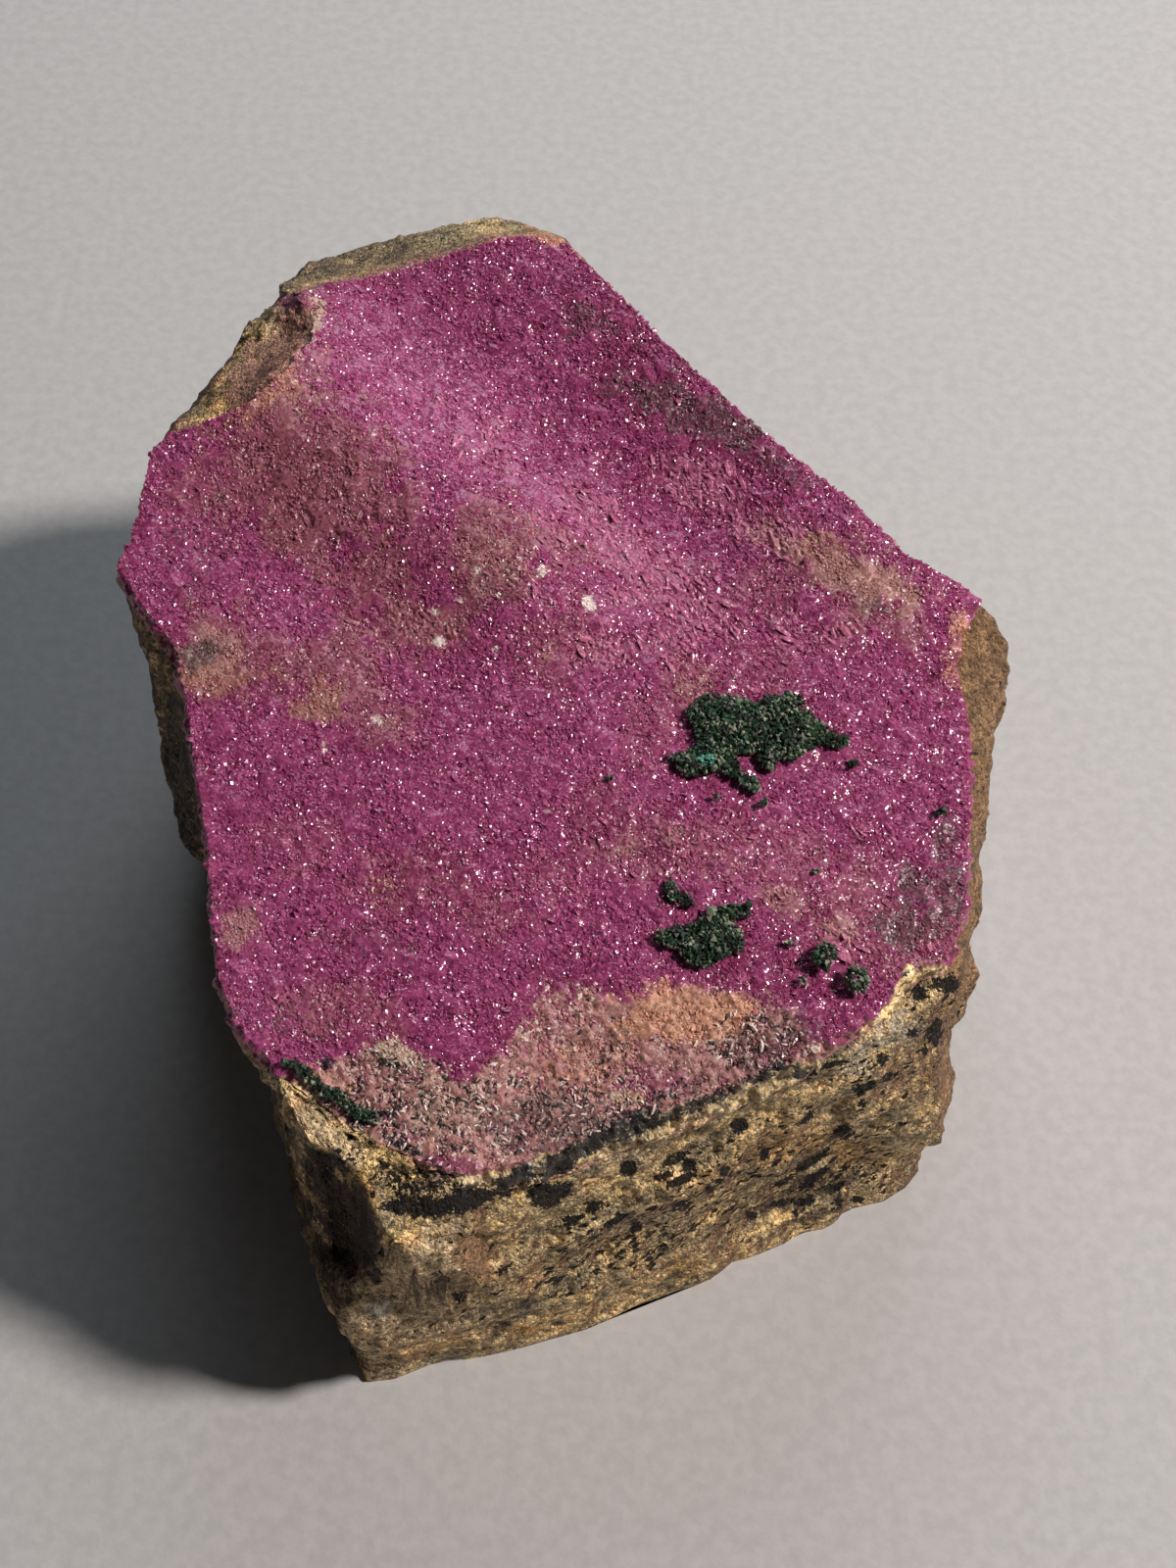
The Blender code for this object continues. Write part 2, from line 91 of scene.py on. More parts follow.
# Places of each mark on the photograph: x, y, half width, half height, turn in degrees
# clockwise, and strength. On the crust, pale is lighter pink, partly painted sheen along the
# ridges that face the key lamp, scruff is scuffed crystals, bare is worn ones, and dust, chalk,
# rust and dusk lie on top. Specks is where black specks are dense, quartz is grey crystals in the
# rock, and shadow marks the dark umber skin of its hollows together with painted shade: in its
# deep front hollow, under the front's overhang and on its shaded left flank.
MARKS = {
    # Partly painted sheen along the ridges that face the key lamp, partly paler crystals
    "pale": (
        (430, 400, 125, 78, 30, 0.9), (345, 330, 70, 45, 10, 0.6),
        (530, 485, 130, 48, 38, 0.8), (620, 590, 90, 45, 45, 0.6),
        (840, 690, 80, 50, 20, 0.35), (300, 640, 80, 40, 10, 0.35), (650, 880, 90, 60, 0, 0.3),
        (880, 900, 50, 60, 20, 0.35), (250, 600, 60, 50, 0, 0.3),
        (280, 1030, 80, 60, 20, 0.6), (545, 275, 40, 16, 20, 0.3), (640, 800, 70, 60, 0, 0.3),
        (245, 940, 44, 36, 0, 0.8),
        (745, 860, 130, 70, 0, 0.5), (560, 720, 90, 60, 10, 0.3), (860, 810, 70, 60, 0, 0.4),
    ),
    "scruff": (
        (722, 492, 46, 28, 20, 0.9), (640, 562, 44, 26, 30, 0.7), (790, 545, 60, 22, 15, 0.9),
        (560, 545, 40, 18, 35, 0.75), (690, 600, 60, 34, 30, 0.7), (625, 665, 34, 18, 10, 0.75),
        (600, 520, 50, 26, 40, 0.6), (480, 440, 60, 22, 38, 0.45), (725, 640, 40, 20, 0, 0.55),
        (680, 660, 30, 18, 0, 0.55), (640, 610, 22, 14, 0, 0.7), (700, 500, 24, 16, 60, 0.7),
        (830, 650, 40, 18, 10, 0.45), (690, 850, 24, 26, 0, 0.5), (420, 645, 40, 26, 0, 0.4),
        (860, 960, 22, 24, 60, 0.75), (885, 850, 30, 14, 0, 0.3), (550, 610, 30, 14, 50, 0.6),
    ),
    "bare": (
        (880, 588, 62, 34, 25, 0.95), (800, 556, 46, 16, 20, 0.7), (500, 575, 34, 44, 15, 0.45),
        (215, 668, 32, 26, 0, 0.9), (330, 720, 26, 18, 0, 0.5), (240, 945, 22, 26, 20, 0.8),
        (300, 395, 34, 60, 40, 0.5), (388, 738, 16, 12, 0, 0.5), (710, 700, 26, 16, 0, 0.5),
        (640, 862, 20, 14, 0, 0.6), (800, 918, 26, 16, 10, 0.65), (862, 950, 22, 18, 0, 0.7),
        (684, 850, 14, 10, 0, 0.55), (560, 668, 12, 22, 30, 0.5),
    ),
    "dust": (
        (320, 490, 125, 85, 35, 0.85), (290, 440, 80, 40, 10, 0.6), (380, 590, 70, 50, 20, 0.6),
        (500, 565, 50, 64, 20, 0.85), (420, 640, 56, 36, 10, 0.85),
        (230, 500, 70, 60, 0, 0.5), (345, 690, 70, 44, 20, 0.7),
        (385, 735, 50, 30, 0, 0.6), (880, 590, 76, 46, 25, 0.7),
        (710, 695, 44, 28, 0, 0.5), (500, 930, 60, 30, 10, 0.4), (560, 900, 40, 30, 10, 0.35),
        (410, 900, 70, 36, 0, 0.4), (220, 670, 60, 50, 0, 0.7), (620, 830, 50, 40, 0, 0.3),
        (900, 630, 60, 24, 15, 0.6), (790, 600, 50, 40, 0, 0.4), (300, 860, 60, 40, 0, 0.3),
        (580, 560, 34, 24, 30, 0.5), (250, 930, 60, 50, 0, 0.15), (440, 560, 60, 40, 0, 0.4),
        (880, 930, 80, 60, 20, 0.5), (340, 1030, 90, 36, 10, 0.5), (930, 960, 60, 40, 0, 0.5),
        (700, 862, 110, 46, 0, 0.45), (800, 880, 80, 44, 0, 0.45), (560, 660, 40, 60, 30, 0.45),
        (760, 690, 60, 30, 0, 0.3), (660, 740, 30, 50, 0, 0.35),
    ),
    "chalk": (
        (446, 655, 9, 7, 20, 1.0), (600, 616, 8, 7, 60, 1.0), (554, 581, 6, 6, 0, 1.0),
        (387, 735, 8, 6, 0, 0.8), (442, 624, 5, 5, 0, 0.7), (455, 637, 4, 4, 0, 0.7),
        (410, 560, 3, 3, 0, 0.8), (468, 612, 5, 4, 0, 0.6), (563, 828, 7, 5, 0, 0.4),
        (486, 583, 4, 4, 0, 0.8), (509, 607, 5, 3, 30, 0.6), (330, 762, 4, 4, 0, 0.7),
        (505, 664, 4, 4, 0, 0.8), (712, 600, 6, 4, 0, 0.5), (635, 575, 4, 4, 0, 0.5),
    ),
    "rust": (
        (325, 715, 30, 24, 0, 0.8), (240, 945, 20, 18, 0, 0.2), (900, 600, 46, 22, 25, 0.6),
        (215, 690, 34, 26, 0, 0.7), (845, 560, 40, 18, 15, 0.5), (275, 690, 30, 18, 0, 0.35),
        (390, 905, 22, 14, 0, 0.4), (340, 730, 16, 14, 0, 0.5), (715, 720, 22, 16, 0, 0.5),
    ),
    "dusk": (
        (700, 420, 85, 26, 22, 0.7), (600, 330, 36, 22, 20, 0.55), (205, 668, 22, 18, 0, 0.95),
        (948, 912, 62, 36, -35, 0.62), (912, 950, 34, 16, 30, 0.75), (960, 868, 16, 34, 10, 0.6),
        (925, 900, 20, 14, 60, 0.85), (200, 560, 50, 70, 0, 0.3), (800, 480, 50, 14, 30, 0.5),
        (740, 445, 24, 14, 20, 0.6), (680, 370, 40, 20, 30, 0.3), (370, 960, 70, 26, 10, 0.3),
        (300, 1040, 60, 26, 10, 0.35), (500, 600, 22, 30, 0, 0.35), (890, 618, 30, 8, 10, 0.6),
        (620, 1060, 26, 16, 0, 0.4), (800, 1060, 70, 26, -15, 0.5), (540, 1140, 60, 30, -5, 0.6),
        (590, 1160, 80, 14, -14, 0.6),
    ),
    "orange": (
        (700, 1035, 80, 30, 0, 0.9), (590, 1085, 60, 30, -10, 0.4), (735, 1026, 44, 18, 0, 0.9),
        (330, 1110, 40, 26, 30, 0.4), (345, 1178, 34, 14, 35, 0.7), (225, 405, 34, 20, -40, 0.6),
        (430, 1366, 50, 16, 0, 0.8), (300, 342, 18, 20, 0, 0.5),
        (372, 1210, 14, 30, -20, 0.7), (645, 1120, 16, 8, 0, 0.9), (450, 1170, 30, 14, 0, 0.3),
        (443, 1310, 18, 24, 50, 0.8), (395, 1364, 26, 12, 10, 0.9), (800, 1170, 60, 22, -15, 0.6),
        (535, 1357, 24, 8, -10, 0.7), (520, 1265, 28, 10, -15, 0.5), (410, 1380, 34, 8, 10, 0.7),
        (865, 1175, 20, 14, 0, 0.9), (985, 680, 26, 40, 0, 0.5), (980, 640, 16, 24, 0, 0.7),
        (700, 1290, 26, 18, 0, 0.6), (250, 380, 60, 50, -30, 0.5), (560, 240, 30, 12, 10, 0.8),
        (595, 1350, 60, 14, -15, 0.4), (425, 1190, 30, 10, 25, 0.5), (720, 1200, 40, 14, -20, 0.4),
    ),
    "cream": (
        (405, 1076, 24, 12, 20, 0.9), (298, 328, 30, 30, -30, 1.0), (262, 372, 44, 20, -45, 0.6),
        (415, 1325, 90, 60, -10, 1.0), (480, 1290, 70, 26, -12, 0.5), (285, 352, 34, 14, -45, 0.4),
        (900, 1150, 50, 40, -40, 0.4), (486, 1206, 34, 9, -6, 1.0), (315, 1112, 14, 12, 40, 0.7),
        (640, 1120, 16, 9, 0, 0.7), (440, 1200, 20, 8, 20, 0.9), (340, 1165, 44, 14, 48, 0.8),
        (322, 1150, 22, 20, 45, 1.0), (352, 1174, 30, 14, 35, 1.0), (470, 1206, 40, 8, -4, 1.0),
        (390, 1340, 16, 22, 30, 0.5), (455, 1130, 70, 34, 20, 0.45), (900, 1090, 60, 40, -40, 0.4),
    ),
    "black": (
        (430, 1232, 46, 11, -2, 1.0), (478, 1222, 44, 14, -12, 1.0), (520, 1205, 34, 11, -28, 1.0),
        (562, 1222, 25, 13, -15, 1.0), (575, 1186, 26, 10, -25, 0.95), (601, 1170, 17, 10, -25, 1.0),
        (648, 1148, 36, 15, -20, 0.75), (690, 1136, 44, 7, -25, 0.65), (740, 1114, 44, 5, -30, 0.65),
        (785, 1094, 34, 6, -28, 0.7), (822, 1096, 14, 9, -10, 1.0), (415, 1171, 22, 5, 28, 1.0),
        (800, 1206, 14, 4, -25, 0.9), (833, 1200, 17, 4, -35, 0.9), (822, 1226, 14, 4, -10, 0.8),
        (852, 1212, 12, 4, -20, 0.9), (795, 1228, 9, 4, 0, 0.8),
        (430, 1206, 46, 22, 4, 0.5), (680, 1118, 50, 14, -20, 0.4),
        (392, 1196, 14, 22, 30, 0.45), (850, 1086, 12, 4, -15, 0.9),
        (936, 1012, 14, 9, -30, 0.9), (966, 1003, 16, 8, 10, 0.9), (901, 1081, 11, 11, 0, 1.0),
        (885, 1109, 12, 6, -20, 1.0), (905, 1100, 9, 5, -30, 0.8), (880, 1126, 7, 4, -20, 0.9),
        (955, 1056, 8, 13, 20, 1.0), (944, 1073, 5, 7, 0, 0.9), (930, 1054, 7, 5, 0, 0.8),
        (641, 1192, 9, 8, 0, 1.0), (704, 1189, 8, 7, 0, 1.0), (686, 1184, 15, 5, -25, 0.9),
        (676, 1200, 13, 4, -20, 0.9), (697, 1204, 15, 5, -22, 0.9), (752, 1148, 7, 8, 20, 1.0),
        (779, 1176, 6, 9, 0, 0.9), (825, 1140, 11, 4, -42, 0.9), (861, 1154, 10, 9, -30, 0.8),
        (739, 1195, 8, 8, 0, 0.8), (725, 1213, 5, 4, 0, 0.9), (608, 1232, 12, 5, -25, 0.9),
        (624, 1247, 16, 5, -27, 0.9), (648, 1251, 7, 6, 0, 0.8), (832, 1182, 22, 6, -35, 0.9),
        (875, 1224, 11, 5, 0, 0.9), (856, 1227, 6, 6, 0, 0.8), (696, 1230, 11, 6, -20, 0.8),
        (766, 1240, 7, 5, 0, 0.8), (581, 1246, 7, 6, 0, 0.8), (470, 1325, 8, 6, 0, 0.7),
        (446, 1300, 7, 4, -15, 0.6), (512, 1296, 10, 5, -30, 0.7), (400, 1085, 20, 4, 10, 0.7),
        (335, 1085, 8, 9, 40, 0.9), (345, 1122, 26, 5, 35, 0.6), (620, 1082, 10, 8, 0, 0.6),
    ),
    "magenta": (
        (455, 1190, 60, 13, 5, 0.55), (672, 1103, 44, 24, -12, 0.5), (800, 1072, 60, 16, -20, 0.4),
        (300, 306, 32, 9, 4, 0.9), (500, 1160, 70, 30, 0, 0.25),
        (560, 1060, 20, 40, 10, 0.4), (515, 1150, 24, 12, 0, 0.4), (870, 1046, 34, 22, -30, 0.6),
        (900, 1010, 30, 26, -40, 0.7), (640, 1016, 30, 10, 0, 0.5),
    ),
    "rosy": (
        (262, 378, 56, 24, -45, 0.7), (302, 345, 20, 34, 10, 0.75), (560, 240, 34, 10, 10, 0.6),
        (180, 440, 40, 20, -20, 0.5), (430, 272, 60, 10, -12, 0.35),
    ),
    "turquoise": (
        (720, 775, 9, 6, 0, 1.0), (758, 756, 5, 4, 0, 0.5),
    ),
    "quartz": (
        (536, 1190, 16, 9, 20, 1.0), (385, 1334, 15, 12, 0, 0.9), (905, 1050, 44, 26, -40, 0.6),
        (880, 1085, 30, 20, -30, 0.5), (640, 1185, 40, 10, -20, 0.4), (402, 1232, 14, 9, 0, 0.6),
    ),
    "specks": (
        (690, 1250, 230, 34, -24, 1.0), (760, 1200, 160, 30, -22, 0.8), (620, 1250, 120, 26, -25, 0.8),
        (600, 1300, 110, 22, -20, 0.8), (760, 1160, 120, 20, -25, 0.6), (840, 1200, 80, 40, -20, 0.9),
        (900, 1100, 70, 60, -40, 0.7), (470, 1330, 80, 26, -20, 0.6), (500, 1265, 60, 20, -20, 0.5),
        (690, 1205, 60, 16, -20, 0.6), (400, 1150, 80, 50, 25, 0.8), (450, 1120, 110, 50, 15, 0.7),
        (600, 1130, 80, 30, -10, 0.5), (780, 1060, 60, 30, -15, 0.7), (950, 1020, 40, 50, 0, 0.7),
        (395, 1200, 60, 34, 25, 0.8),
    ),
    # Dark umber skin of the rock, and painted shade in its deep front hollow, along the line under the
    # front's overhang and on the shaded left flank
    "shadow": (
        (354, 1248, 34, 66, -22, 1.0), (330, 1205, 20, 38, -30, 0.95), (820, 1218, 60, 18, -20, 0.6),
        (532, 1332, 20, 12, -10, 0.6), (507, 1360, 18, 9, -35, 0.6), (383, 1302, 9, 15, 0, 0.8),
        (185, 800, 40, 120, 0, 0.7), (845, 1236, 40, 6, -15, 0.6),
    ),
}


class SpecimenView(bpy.types.PropertyGroup):
    elevation: FloatProperty(
        name="Elevation", description="How far above the horizontal the camera looks down from",
        default=math.radians(55.0), subtype="ANGLE")
    distance: FloatProperty(
        name="Distance", description="From the camera to the point that it is aimed at",
        default=0.232, unit="LENGTH")
    aim: FloatVectorProperty(
        name="Aim", description="The point in the middle of the picture",
        default=(0.001938, -0.003319, 0.026), subtype="TRANSLATION", unit="LENGTH")
    lens: FloatProperty(
        name="Lens", description="Focal length in millimetres on a 36 mm frame", default=51.75)


class SpecimenLight(bpy.types.PropertyGroup):
    key_power: FloatProperty(
        name="Key power", description="Power of the key lamp on the right, in watts",
        default=10.2)
    key_size: FloatProperty(
        name="Key size", description="Width of the key lamp", default=0.14, unit="LENGTH")
    key_place: FloatVectorProperty(
        name="Key place", description="Where the key lamp hangs",
        default=(0.70, -0.012, 0.74), subtype="TRANSLATION", unit="LENGTH")
    key_colour: FloatVectorProperty(
        name="Key colour", description="Colour of the key light",
        default=(1.0, 0.955, 0.92), subtype="COLOR", min=0.0, max=1.0)
    fill_strength: FloatProperty(
        name="Fill power", description="Power of the soft light behind the specimen, in watts",
        default=2.0)
    fill_place: FloatVectorProperty(
        name="Fill place", description="Where the soft light hangs",
        default=(0.08, 0.60, 0.46), subtype="TRANSLATION", unit="LENGTH")
    fill_size: FloatProperty(
        name="Fill size", description="Width of the soft light", default=0.5, unit="LENGTH")
    fill_colour: FloatVectorProperty(
        name="Fill colour", description="Colour of the soft light",
        default=(0.82, 0.92, 1.0), subtype="COLOR", min=0.0, max=1.0)
    sky_colour: FloatVectorProperty(
        name="Room colour", description="Colour of the light of the room",
        default=(0.9, 0.95, 1.0), subtype="COLOR", min=0.0, max=1.0)
    sky_strength: FloatProperty(
        name="Room light", description="Light of the room from all round", default=0.03)


class SpecimenStage(bpy.types.PropertyGroup):
    floor_size: FloatProperty(
        name="Floor", description="Width of the floor", default=6.0, unit="LENGTH")
    floor_colour: FloatVectorProperty(
        name="Floor colour", description="Colour of the pale floor",
        default=(0.545, 0.52, 0.51), subtype="COLOR", min=0.0, max=1.0)


class SpecimenRock(bpy.types.PropertyGroup):
    facet: FloatProperty(
        name="Facet", description="Longest edge on the broken flanks",
        default=1.05 * MM, unit="LENGTH")
    front_facet: FloatProperty(
        name="Front facet", description="Longest edge on the speckled front",
        default=0.52 * MM, unit="LENGTH")
    tan: FloatVectorProperty(
        name="Tan", description="Main colour of the dolostone",
        default=(0.56, 0.39, 0.20), subtype="COLOR", min=0.0, max=1.0)
    khaki: FloatVectorProperty(
        name="Khaki", description="Its greyer beds",
        default=(0.37, 0.285, 0.16), subtype="COLOR", min=0.0, max=1.0)


class SpecimenCrust(bpy.types.PropertyGroup):
    crystal_spacing: FloatProperty(
        name="Crystal spacing", description="From one crystal to the next",
        default=0.42 * MM, unit="LENGTH")
    crystal_size: FloatProperty(
        name="Crystal size", description="Edge of a middling crystal",
        default=0.38 * MM, unit="LENGTH")
    point_spacing: FloatProperty(
        name="Point spacing", description="From one small three-sided point to the next",
        default=0.30 * MM, unit="LENGTH")
    point_size: FloatProperty(
        name="Point size", description="Width of a middling point",
        default=0.40 * MM, unit="LENGTH")
    deep: FloatVectorProperty(
        name="Deep magenta", description="Colour between the crystals",
        default=(0.22, 0.022, 0.082), subtype="COLOR", min=0.0, max=1.0)
    bright: FloatVectorProperty(
        name="Bright pink", description="Colour of the lightest crystals",
        default=(0.54, 0.105, 0.275), subtype="COLOR", min=0.0, max=1.0)


class SpecimenMalachite(bpy.types.PropertyGroup):
    grain_spacing: FloatProperty(
        name="Grain spacing", description="From one grain to the next",
        default=0.24 * MM, unit="LENGTH")
    dark: FloatVectorProperty(
        name="Dark green", description="Colour of most grains",
        default=(0.013, 0.024, 0.013), subtype="COLOR", min=0.0, max=1.0)
    green: FloatVectorProperty(
        name="Green", description="Colour of the fresher grains",
        default=(0.028, 0.082, 0.035), subtype="COLOR", min=0.0, max=1.0)
    pale: FloatVectorProperty(
        name="Pale green", description="Colour of the weathered grains",
        default=(0.33, 0.345, 0.24), subtype="COLOR", min=0.0, max=1.0)


class PhotoCamera:
    """Turns places in the frame into pixels of the photograph, and back."""

    def __init__(self):
        view = bpy.context.scene.specimen_view
        back = Vector((0.0, -math.cos(view.elevation), math.sin(view.elevation)))
        self.eye = Vector(view.aim) + back * view.distance
        self.forward = -back
        self.right = Vector((1.0, 0.0, 0.0))
        self.up = self.right.cross(self.forward)
        self.focal = view.lens / SENSOR * PHOTO_HEIGHT

    def pixels(self, points):
        """The x and y of each point on the photograph."""
        away = np.asarray(points) - np.array(self.eye)
        depth = away @ np.array(self.forward)
        x = PHOTO_WIDTH / 2 + self.focal * (away @ np.array(self.right)) / depth
        y = PHOTO_HEIGHT / 2 - self.focal * (away @ np.array(self.up)) / depth
        return x, y

    def ray(self, x, y):
        """The direction from the camera through a pixel."""
        return (self.forward + self.right * ((x - PHOTO_WIDTH / 2) / self.focal)
                + self.up * ((PHOTO_HEIGHT / 2 - y) / self.focal)).normalized()

    def facing(self, points, normals):
        """1 where a surface faces the camera, falling to 0 where it turns away."""
        cosine = np.einsum("ij,ij->i", self.towards(points), np.asarray(normals))
        return smooth_step(cosine, 0.0, 0.15)

    def towards(self, points):
        """The direction from each point to the camera."""
        return unit(np.array(self.eye) - np.asarray(points))


def smooth_step(values, low, high):
    """0 below the low value, 1 above the high one and a soft rise between them."""
    share = np.clip((values - low) / (high - low), 0.0, 1.0)
    return share * share * (3.0 - 2.0 * share)


SEED_SHIFT = (3.7, 1.3, 2.9)
NOISE_GAIN = 1.6              # brings the noise up to about -1 to 1


def clouds(points, size, seed):
    """Soft noise at each point, about -1 to 1, with blobs of about that size."""
    shift = Vector([seed * step for step in SEED_SHIFT])
    scale = 1.0 / size
    return np.array([noise.noise(Vector(point) * scale + shift) for point in points]) * NOISE_GAIN


def lumps(points, height, size, seed):
    """Noise of that height, in millimetres, with lumps of about that size in millimetres."""
    return height * clouds(points, size * MM, seed)


def unit(vectors):
    """Each vector made 1 long."""
    return vectors / np.linalg.norm(vectors, axis=1)[:, None]


def line_height(x, line):
    """The y of a line on the photograph at each x."""
    return np.interp(x, [p[0] for p in line], [p[1] for p in line])


def patch_distance(x, y, patch):
    """How far out each pixel lies from a patch's middle: 1 on its outline."""
    centre_x, centre_y, half_width, half_height, turn = patch
    cosine = math.cos(math.radians(turn))
    sine = math.sin(math.radians(turn))
    along = ((x - centre_x) * cosine + (y - centre_y) * sine) / half_width
    across = ((y - centre_y) * cosine - (x - centre_x) * sine) / half_height
    return np.hypot(along, across)


MARK_EDGE = (-0.25, 0.45)     # shares of a patch's width in from its outline
MARK_WANDER = ((0.35, 3.0, 1), (0.25, 1.1, 2))


def mark_strength(x, y, patches, wander):
    """How strongly each pixel lies in the patches, 0 to 1, with edges pushed about."""
    strength = np.zeros(len(x))
    for *patch, peak in patches:
        inward = 1.0 - patch_distance(x, y, patch) + wander
        strength = np.maximum(strength, peak * smooth_step(inward, *MARK_EDGE))
    return strength


def photo_marks(camera, points, normals, names):
    """The strength of each named mark at each point that the photograph shows."""
    x, y = camera.pixels(points)
    seen = camera.facing(points, normals)
    wander = sum(lumps(points, *step) for step in MARK_WANDER)
    return {name: seen * mark_strength(x, y, MARKS[name], wander) for name in names}


def solid_copy(name):
    """A bmesh of a solid's faces, joined up."""
    bm = bmesh.new()
    bm.from_mesh(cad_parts[name].data)
    bmesh.ops.remove_doubles(bm, verts=bm.verts, dist=SAME_POINT)
    bm.normal_update()
    return bm


REFINING_ROUNDS = 5           # each one halves the long edges


def refine(bm, longest, wanted):
    """Splits the long edges of the wanted faces until hardly one is longer than that."""
    for _ in range(REFINING_ROUNDS):
        faces = [face for face in bm.faces if wanted(face)]
        edges = {edge for face in faces for edge in face.edges if edge.calc_length() > longest}
        bmesh.ops.subdivide_edges(bm, edges=list(edges), cuts=1, use_grid_fill=True)
        bmesh.ops.triangulate(bm, faces=[face for face in bm.faces if len(face.verts) > 3])


def soften(bm, verts, rounds):
    for _ in range(rounds):
        bmesh.ops.smooth_vert(bm, verts=verts, factor=0.5, use_axis_x=True, use_axis_y=True,
                              use_axis_z=True)


def vertex_arrays(bm):
    bm.normal_update()
    places = np.array([vert.co for vert in bm.verts])
    normals = np.array([vert.normal for vert in bm.verts])
    return places, normals


def move_vertices(bm, places):
    for vert, place in zip(bm.verts, places):
        vert.co = place


def set_attribute(mesh, name, values):
    """Stores one number a vertex for the material to read."""
    layer = mesh.attributes.new(name, "FLOAT", "POINT")
    layer.data.foreach_set("value", np.asarray(values, dtype=np.float32))


def add_bake_map(mesh):
    """A map seen from above, so that each small crystal keeps its own patch of colour."""
    count = len(mesh.loops)
    corners = np.empty(count, dtype=np.int32)
    mesh.loops.foreach_get("vertex_index", corners)
    places = np.empty(len(mesh.vertices) * 3)
    mesh.vertices.foreach_get("co", places)
    flat = places.reshape(-1, 3)[:, :2]
    low = flat.min(axis=0)
    flat = (flat - low) / (flat.max(axis=0) - low)
    layer = mesh.uv_layers.new(name="OFBake")
    layer.data.foreach_set("uv", flat[corners].ravel())


def link_piece(name, mesh, material):
    """Links a finished mesh as a piece of the specimen."""
    mesh.name = name
    mesh.materials.clear()
    mesh.materials.append(material)
    piece = bpy.data.objects.new(name, mesh)
    bpy.context.scene.collection.objects.link(piece)
    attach(piece, BODY)
    return piece


def mesh_from(bm, name):
    mesh = bpy.data.meshes.new(name)
    bm.to_mesh(mesh)
    bm.free()
    return mesh


FLATTENING = 0.42             # turns a cube into a blunt rhombohedron
POINT_RADIUS = 0.62           # of a three-sided point's base
POINT_HEIGHT = 0.26
TABLET_RADIUS = (0.8, 0.55)   # of a tablet's foot and of its top
TABLET_HEIGHT = 0.6
GRAIN_RADIUS = 0.5


def crystal_shape():
    """A rhombohedron with edges of about 1, standing on a corner."""
    bm = bmesh.new()
    bmesh.ops.create_cube(bm, size=1.0)
    upright = Vector((1.0, 1.0, 1.0)).rotation_difference(UP)
    bmesh.ops.rotate(bm, verts=bm.verts, cent=Vector(), matrix=upright.to_matrix())
    bmesh.ops.scale(bm, verts=bm.verts, vec=Vector((1.0, 1.0, FLATTENING)))
    return shape_arrays(bm)


def point_shape():
    """The three-sided tip of a crystal whose rest is grown in."""
    bm = bmesh.new()
    bmesh.ops.create_cone(bm, segments=3, radius1=POINT_RADIUS, radius2=0.0,
                          depth=POINT_HEIGHT, cap_ends=True)
    return shape_arrays(bm)


def tablet_shape():
    """A low four-sided crystal with a flat top."""
    bm = bmesh.new()
    foot, top = TABLET_RADIUS
    bmesh.ops.create_cone(bm, segments=4, radius1=foot, radius2=top, depth=TABLET_HEIGHT,
                          cap_ends=True)
    return shape_arrays(bm)


def grain_shape():
    """A small knobbly grain with eight faces."""
    bm = bmesh.new()
    bmesh.ops.create_cone(bm, segments=4, radius1=GRAIN_RADIUS, radius2=0.0,
                          depth=GRAIN_RADIUS, cap_ends=False)
    bmesh.ops.translate(bm, verts=bm.verts, vec=UP * (GRAIN_RADIUS / 2))
    bmesh.ops.mirror(bm, geom=bm.verts[:] + bm.edges[:] + bm.faces[:], axis="Z",
                     merge_dist=SAME_POINT)
    bmesh.ops.recalc_face_normals(bm, faces=bm.faces)
    return shape_arrays(bm)


def shape_arrays(bm):
    """The points and faces of a small shape whose faces all have as many corners."""
    bm.verts.index_update()
    points = np.array([vert.co for vert in bm.verts])
    faces = np.array([[vert.index for vert in face.verts] for face in bm.faces])
    bm.free()
    return points, faces


def turn_matrices(axes, spins):
    """One 3 by 3 matrix for each axis, which takes +Z to the axis after a spin about it."""
    helper = np.where(np.abs(axes[:, :1]) < 0.8, [[1.0, 0.0, 0.0]], [[0.0, 1.0, 0.0]])
    side = unit(np.cross(helper, axes))
    other = np.cross(axes, side)
    cosine = np.cos(spins)[:, None]
    sine = np.sin(spins)[:, None]
    first = side * cosine + other * sine
    second = other * cosine - side * sine
    return np.stack([first, second, axes], axis=2)


def join_copies(name, shape, places, axes, spins, sizes):
    """One mesh with a copy of the shape at every place. Sizes has three numbers a copy."""
    points, faces = shape
    turns = turn_matrices(axes, spins)
    scaled = points[None, :, :] * sizes[:, None, :]
    corners = np.einsum("nij,npj->npi", turns, scaled) + places[:, None, :]
    count = len(places)
    offsets = (np.arange(count) * len(points))[:, None, None]
    all_faces = (faces[None, :, :] + offsets).reshape(-1, faces.shape[1])
    mesh = bpy.data.meshes.new(name)
    mesh.vertices.add(count * len(points))
    mesh.vertices.foreach_set("co", corners.ravel())
    mesh.loops.add(all_faces.size)
    mesh.loops.foreach_set("vertex_index", all_faces.ravel().astype(np.int32))
    mesh.polygons.add(len(all_faces))
    starts = np.arange(len(all_faces), dtype=np.int32) * faces.shape[1]
    mesh.polygons.foreach_set("loop_start", starts)
    mesh.update(calc_edges=True)
    mesh.shade_flat()
    return mesh


ROW_STEP = 0.866              # from one row of a triangular net to the next, in spacings
NET_SHIFT = 0.42              # how far a point is pushed off the net, in spacings
DROP_HEIGHT = 20.0            # millimetres above a surface that points are dropped from


